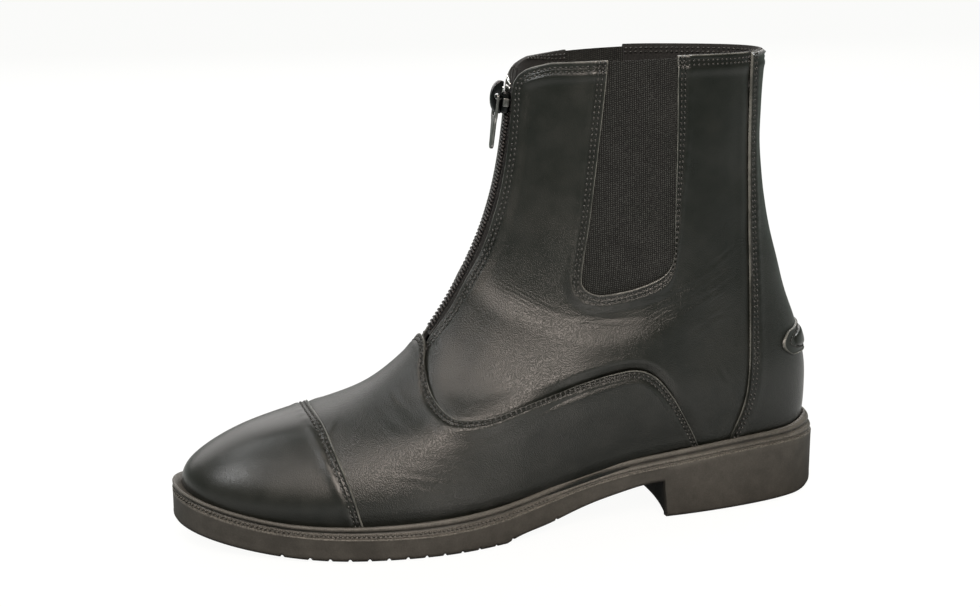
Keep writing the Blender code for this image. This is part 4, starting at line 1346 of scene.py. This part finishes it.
# %% Sole walls
even = SOLE_LENGTH * (1 - np.cos(np.linspace(0, np.pi, 241))) / 2
in_notches = NOTCHES[:, None] + [-NOTCH_HALF, -0.5, -0.2, 0.2, 0.5, NOTCH_HALF]
in_grooves = HEEL_GROOVES[:, None] + [-GROOVE_HALF, -0.55, -0.25, 0.25, 0.55, GROOVE_HALF]
column_x = np.concatenate([even, in_notches.ravel(), in_grooves.ravel()])
column_x = column_x[(column_x < BREAST_HEEL - 0.3) | (column_x > BREAST_WAIST + 0.3)]
column_x = np.sort(np.concatenate([column_x, [BREAST_HEEL, BREAST_WAIST]]))
is_waist = (column_x > 80) & (column_x < 156)
theta = np.arccos(1 - 2 * column_x / SOLE_LENGTH)
foot_z, top_z = bottom_height(column_x, is_waist), wall_top(column_x)
notch, heel_cut = cuts(column_x, NOTCHES, NOTCH_HALF), cuts(column_x, HEEL_GROOVES, GROOVE_HALF)
cut = 0.85 * notch
wall = [(3.0, top_z + 0.2), (0.75, top_z + 0.2), (0.25, top_z + 0.05), (0.02, top_z - 0.35)]
wall += [(0.10, top_z + (foot_z + 2 - top_z) * s) for s in (0.12, 0.3, 0.5, 0.7, 0.88)]
wall += [(0.02, foot_z + 2.0 + 0.3 * cut), (0.10, foot_z + 1.2 + 0.6 * cut),
         (0.5, foot_z + 0.45 + 0.85 * cut), (1.3, foot_z + 0.05 + cut), (4.0, foot_z + cut)]


def wall_side(angle):
    """Wall points of one side: each is the outline moved in by its inset, at its height."""
    return np.stack([np.column_stack([sole_edge(angle, inset), z]) for inset, z in wall], 1)


outer_wall, inner_wall = wall_side(theta), wall_side(2 * np.pi - theta)
print("sole sections:", len(column_x))

# %% Sole
share = np.linspace(0, 1, 27)[1:-1]
left, right = outer_wall[:, -1], inner_wall[:, -1]
tread = left[:, None] + share[None, :, None] * (right - left)[:, None]
depth_in = np.minimum(share, 1 - share) * np.linalg.norm(right - left, axis=1)[:, None]
fine = 0.9 * np.maximum(notch, heel_cut)[:, None] * np.ones(len(share))
tread[..., 2] = foot_z[:, None] + np.where(depth_in < 5.0, np.maximum(cut[:, None], fine), fine)
near_breast = np.where(column_x < 80, smooth(column_x, 52, BREAST_HEEL),
                       1 - smooth(column_x, BREAST_WAIST, 100))
hollow = BREAST_HOLLOW * np.clip(1 - ((tread[..., 1] + 5.0) / 37.0) ** 2, 0, 1)
tread[..., 0] -= near_breast[:, None] * hollow
section = np.concatenate([outer_wall, tread, inner_wall[:, ::-1]], 1)
# Distances from the wall's top and foot edges, where the rubber is painted paler: partly wear,
# partly a painted highlight.
from_top = np.maximum(0, (top_z + 0.1)[:, None] - section[..., 2])
from_foot = np.maximum(0, section[..., 2] - foot_z[:, None])
from_foot += np.where(is_waist, NO_EDGE, 0.0)[:, None]
outsole = make_rings("sole_unit", section, sole_rubber, "rubber",
                     edge=np.minimum(from_top, from_foot), crease=38.0)

# %% [markdown]
# ## Welt
# Between leather and sole runs a moulded welt: a thin rib, a groove and a rounded bead against
# the leather. Its section is carried once round the foot. Round the forefoot the groove holds a
# row of moulded stitches.

# %% Welt
def welt_height(x):
    """Height of the welt: from the wall's top edge to the leather's foot line."""
    return (sole_top(x) - wall_top(x) + 4.45 + 1.5 * (1 - smooth(x, 110.0, 165.0))
            + 2.2 * (1 - smooth(x, 3.0, 22.0)))


AROUND = 640
round_foot = np.linspace(0, 2 * np.pi, AROUND, endpoint=False)
WELT = np.array([
    # distance in from the sole's edge, share of the welt's height, share of the extra inset at the
    # forefoot, distance from an edge painted paler (wear and a painted highlight)
    (3.20, 0.01, 0.0, 9.0), (0.70, 0.01, 0.0, 0.2), (0.60, 0.06, 0.0, 0.4), (0.80, 0.10, 0.0, 9.0),
    (0.45, 0.16, 1.0, 0.7), (0.30, 0.24, 1.0, 0.4), (0.45, 0.32, 1.0, 0.7), (1.00, 0.38, 0.3, 9.0),
    (1.35, 0.42, 0.0, 9.0), (1.35, 0.48, 0.0, 9.0), (0.95, 0.53, 0.0, 9.0), (0.40, 0.60, 0.0, 2.0),
    (0.10, 0.70, 0.0, 0.8), (0.05, 0.79, 0.0, 0.6), (0.20, 0.88, 0.0, 0.8), (0.55, 0.95, 0.0, 9.0),
    (1.05, 0.96, 0.0, 9.0), (1.50, 0.90, 0.0, 9.0)])
WELT_BACK = ((1.95, 0.78), (0.6, 0.50), (-0.6, 0.02))


def at_share(ring, share):
    """Ring set at a share of the welt's height."""
    height = wall_top(ring[:, 0]) + 0.2 + share * welt_height(ring[:, 0])
    return np.column_stack([ring[:, :2], height])


def welt_ring(inset, share):
    """Ring round the foot at a distance in from the sole's edge and a share of the welt's height;
    at the heel's back the welt leans in towards its top."""
    back = 1 - smooth(sole_edge(round_foot)[:, 0], 3.0, 36.0)
    return at_share(sole_edge(round_foot, inset + 3.0 * back * share ** 2), share)


forefoot = smooth(sole_edge(round_foot)[:, 0], 122.0, 138.0)
rings = [welt_ring(inset + 0.55 * extra * forefoot, share) for inset, share, extra, _ in WELT]
foot, foot_out = on_last(round_foot, 0.30)
fuller = swell(foot, round_foot)
rings += [at_share(lifted(foot, foot_out, reach + fuller), share) for reach, share in WELT_BACK]
marks = np.concatenate([WELT[:, 3], np.full(len(WELT_BACK), NO_EDGE)])
welt = make_rings("welt_strip", np.stack(rings, 1), welt_rubber, "rubber", closed=True,
                  edge=np.tile(marks, (AROUND, 1)))

# %% Welt stitches
middle, behind = welt_ring(0.55, 0.25), welt_ring(3.0, 0.25)
ahead = middle[:, 0] > 132.0
row = bead_row(middle[ahead], (middle - behind)[ahead], 1.85, 1.4, 0.40, 0.25, 0.05)
make_beads("welt_stitches", [row], welt_rubber, "rubber")

# %% [markdown]
# ## Insole
# The foot rests on a padded insole, seen only by looking into the shaft. It is a sheet between
# the two sides of the foot's outline, slightly crowned.

# %% Insole
theta = np.linspace(0, np.pi, 120)
one, two = (lifted(*on_last(a, 0.0), -2.7) for a in (theta, 2 * np.pi - theta))
share = np.linspace(0, 1, 40)
bed = one[:, None] + share[None, :, None] * (two - one)[:, None]
from_rim = np.minimum(share, 1 - share)[None] * np.linalg.norm(two - one, axis=1)[:, None]
under = bed.copy()
under[..., 2] = sole_top(bed[..., 0]) + 0.3
bed[..., 2] = (sole_top(bed[..., 0]) + 4.2 + roll(from_rim, 2.0, 1.0)
               + 0.6 * smooth(from_rim, 2.0, 20.0))
insole = make_sheet("padded_insole", bed, under, lining_cloth, "lining", bed[..., :2])

# %% [markdown]
# ## Zip
# The zip is two woven tapes with a dark coil each. Below the slider the coils lock into one chain,
# like a plait; above it the tapes part a little and end in a frayed edge. A turn of the coil is a
# small slanted bar, repeated up the front line with every second one turned to the other side.

# %% Zip tape
TAPE_LOW, TAPE_HIGH, TAPE_WIDE = 79.0, 185.4, 8.6


def build_tape(name, side):
    """One tape: across from the middle to well under the quarter's edge, up to a slightly frayed
    end."""
    share, up = np.meshgrid(np.linspace(0, 1, 30), np.linspace(0, 1, 150), indexing="ij")
    fray = 0.5 * np.sin(share * 23.0) + 0.4 * np.sin(share * 57.0 + 1.0)
    z = TAPE_LOW + (TAPE_HIGH + 0.9 * fray - TAPE_LOW) * up
    part = 0.05 + 0.95 * smooth(z, 178.0, 187.0)
    y = side * (part + (TAPE_WIDE - part) * share)
    base, normal = on_last(*np.moveaxis(on_front(y, z), -1, 0))
    outer = lifted(base, normal, -1.25 + 0.5 * bell(share, 0.36, 0.06))
    return make_sheet(name, outer, lifted(base, normal, -1.85), tape_cloth, "tape",
                      np.stack([y, z], -1))


tape_outer = build_tape("zip_tape_outer", 1.0)
build_tape("zip_tape_inner", -1.0)

# %% Zip coil
def build_coil(name, low, high, pitch):
    """Coil turns from a low to a high place: slanted bars, six corners and five rings each, that
    reach past the middle from alternate sides."""
    count = int((high - low) / pitch)
    z = low + pitch * (np.arange(count) + 0.5)
    side = np.where(np.arange(count) % 2 == 0, 1.0, -1.0)
    base, out = on_last(*on_front(side * 1.15, z).T)
    up = unit(np.gradient(last_point(*on_front(np.zeros(count), z).T), axis=0))
    wide = np.cross(up, out) * -side[:, None]
    long, square_to = 0.94 * wide + 0.34 * up, 0.94 * up - 0.34 * wide
    share = np.array([0.0, 0.12, 0.5, 0.88, 1.0])
    size = np.array([0.0, 0.80, 1.0, 0.80, 0.0])[:, None]
    turn = np.arange(6) * np.pi / 3
    a = 4.0 * (share - 0.5)[:, None] + 0 * turn
    b, c = size * np.cos(turn) * 0.58, size * np.sin(turn) * 0.85 + 0.15
    return make_beads(name, [place_beads(base, long, square_to, out, a, b, c)], coil, "zip_metal")


coil_chain = build_coil("zip_coil_chain", 80.6, 170.0, 0.74)

# %% [markdown]
# ## Slider, stops and pull
# Most of these small metal pieces are plates with softened edges: an outline pushed to a thickness,
# with two rings of bevel. The crown and the pull have a hole, so their section runs from the hole's
# edge to the outline and back, and closes on itself. The two top stops and the slider's post are
# short round rods.

# %% Plate helpers
SLIDER_Z, HINGE_OUT, BAR_HOLE = 174.3, 4.7, 1.25
SIDEWAYS = np.array([0, 1.0, 0])
front_line = last_point(np.full(400, np.pi), np.linspace(9, TOP_LEVEL, 400))
k = int(np.argmin(np.abs(front_line[:, 2] - SLIDER_Z)))
slider_at, slider_up = front_line[k], unit(front_line[k + 4] - front_line[k - 4])
slider_out = np.cross(SIDEWAYS, slider_up)


def in_slider(out, side, up, origin=slider_at):
    """Points from the slider's own directions: out from the leather, sideways, up along the zip."""
    out, side, up = (np.asarray(part)[..., None] for part in np.broadcast_arrays(out, side, up))
    return origin + out * slider_out + side * SIDEWAYS + up * slider_up


def shrink(loop, inset):
    """Closed loop of points moved in, square to its own direction."""
    along = unit(np.roll(loop, -1, axis=0) - np.roll(loop, 1, axis=0))
    return loop + inset * np.stack([-along[:, 1], along[:, 0]], -1)


def even_loop(corners, count, rounding):
    """Closed loop of evenly spaced points round corners, softened by averaging neighbours."""
    p = np.vstack([corners, corners[:1]]).astype(float)
    far = travelled(p)
    loop = read_line(np.linspace(0, far[-1], count, endpoint=False), far, p)
    for _ in range(rounding):
        loop = (np.roll(loop, 1, axis=0) + 2 * loop + np.roll(loop, -1, axis=0)) / 4
    return loop


def plate_rings(loop, low, high, bevel, middle=None):
    """Rings of a plate: from the middle or a hole's edge out to the outline, round its bevelled
    edge and back on the other face. Each ring is a loop and a depth."""
    inner = np.broadcast_to(loop.mean(0), loop.shape) if middle is None else middle
    rings = []
    for depth, sign in ((low, 1.0), (high, -1.0)):
        if middle is None:
            face = [(inner, depth)]
        else:
            face = [(inner, depth + sign * bevel),
                    (shrink(inner, -0.3 * bevel), depth + sign * 0.3 * bevel),
                    (shrink(inner, -bevel), depth)]
        face += [(shrink(loop, bevel), depth),
                 (shrink(loop, 0.3 * bevel), depth + sign * 0.3 * bevel),
                 (loop, depth + sign * bevel)]
        rings += face if sign > 0 else face[::-1]
    return rings


print("slider at", np.round(slider_at, 1))

# %% Slider
def slider_plate(name, loop, low, high, bevel, finish, hole=None):
    """Plate of the slider: a loop of out and up places, pushed sideways from low to high."""
    rings = plate_rings(loop, low, high, bevel, hole)
    points = np.stack([in_slider(ring[:, 0], depth, ring[:, 1]) for ring, depth in rings])
    return make_rings(name, points, finish, "zip_metal", hole is not None, crease=60.0)


body_loop = even_loop([(-0.3, -5.6), (0.6, -6.6), (2.6, -6.6), (3.2, -5.6), (3.2, 1.6), (2.6, 2.4),
                       (0.6, 2.4), (-0.3, 1.6)], 72, 2)
slider_body = slider_plate("slider_body", body_loop, -3.9, 3.9, 0.7, black_metal)
flange_loop = even_loop([(0.3, -3.7), (2.9, -3.7), (2.9, -0.3), (0.3, -0.3)], 40, 2)
slider_plate("slider_flange_outer", flange_loop, 3.6, 4.3, 0.2, grey_metal)
slider_plate("slider_flange_inner", flange_loop, -4.3, -3.6, 0.2, grey_metal)
arc = np.linspace(-np.pi / 2, np.pi / 2, 40)
dome = np.column_stack([3.6 + 3.6 * np.cos(arc), 6.7 * np.sin(arc) - 0.2])
crown_loop = even_loop(np.vstack([[(2.4, -6.7)], dome, [(2.4, 6.3)]]), 96, 3)
turn = np.arctan2(crown_loop[:, 1], crown_loop[:, 0] - HINGE_OUT)
hole = np.column_stack([HINGE_OUT + BAR_HOLE * np.cos(turn), BAR_HOLE * np.sin(turn)])
slider_plate("slider_crown", crown_loop, -1.5, 1.5, 0.45, black_metal, hole)

# %% Pull tab
hinge = slider_at + HINGE_OUT * slider_out
tip = np.linspace(0, np.pi, 24)
right_edge = np.array([(1.75, -19.4), (2.0, -10.8), (3.0, -8.4), (3.0, 0.6)])
tab_tip = np.column_stack([-1.75 * np.cos(tip), -19.4 - 2.0 * np.sin(tip)])
tab_loop = even_loop(np.vstack([right_edge[::-1] * (-1, 1), tab_tip[1:-1], right_edge]), 160, 2)
window = even_loop([(-1.95, -0.6), (-1.95, -7.8), (1.95, -7.8), (1.95, -0.6)], 160, 4)
rings = plate_rings(tab_loop, -0.6, 0.6, 0.25, window)
points = np.stack([in_slider(depth, loop[:, 0], loop[:, 1], hinge) for loop, depth in rings])
pull_tab = make_rings("pull_tab", points, grey_metal, "zip_metal", True, body="pull", crease=60.0)

# %% Top stops and post
def build_rod(name, path, radius):
    """Round rod along a path: circles square to it, their size 1 - (2s - 1)^14 under a root at
    share s."""
    path = smooth_line(path, 8)
    along = unit(np.gradient(path, axis=0))
    side = unit(np.cross(along, (0.3, 0.5, 0.8)))
    other = np.cross(along, side)
    turn = (np.arange(10) * np.pi / 5)[:, None]
    size = radius * np.sqrt(1 - np.linspace(-1, 1, len(path)) ** 14)[:, None, None]
    rings = path[:, None] + size * (np.cos(turn) * side[:, None] + np.sin(turn) * other[:, None])
    return make_rings(name, rings, bright_metal, "zip_metal", crease=60.0)


def on_zip(places):
    """Points just over the front line, given by sideways place and height."""
    return lifted(*on_last(*on_front(*np.array(places).T).T), 0.9)


build_rod("top_stop_upper", on_zip([(-1.4, 183.0), (0.6, 181.6), (2.2, 180.3), (3.4, 179.6)]), 0.55)
build_rod("top_stop_lower", on_zip([(-0.2, 179.0), (1.4, 178.6), (3.2, 178.0)]), 0.50)
build_rod("slider_post", in_slider([2.9, 2.9, 2.7], 1.75, [-0.6, 1.6, 4.4]), 0.32)

# %% [markdown]
# ## Hiding the plain solids
# Each new piece says which solid of the CAD model it stands for, so that the plain solid isn't
# shown.

# %% Hide the plain solids
for piece, node in ((quarter, "upper"), (vamp, "vamp"), (toe_cap, "toe_cap"),
                    (back_strip, "back_strip"), (gore_outer, "gore_outer"),
                    (gore_inner, "gore_inner"), (spur_rest, "spur_rest"), (outsole, "outsole"),
                    (welt, "welt"), (insole, "insole"), (tape_outer, "zip_tape"),
                    (coil_chain, "zip_chain"), (slider_body, "zip_slider"), (pull_tab, "zip_pull")):
    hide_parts(node)
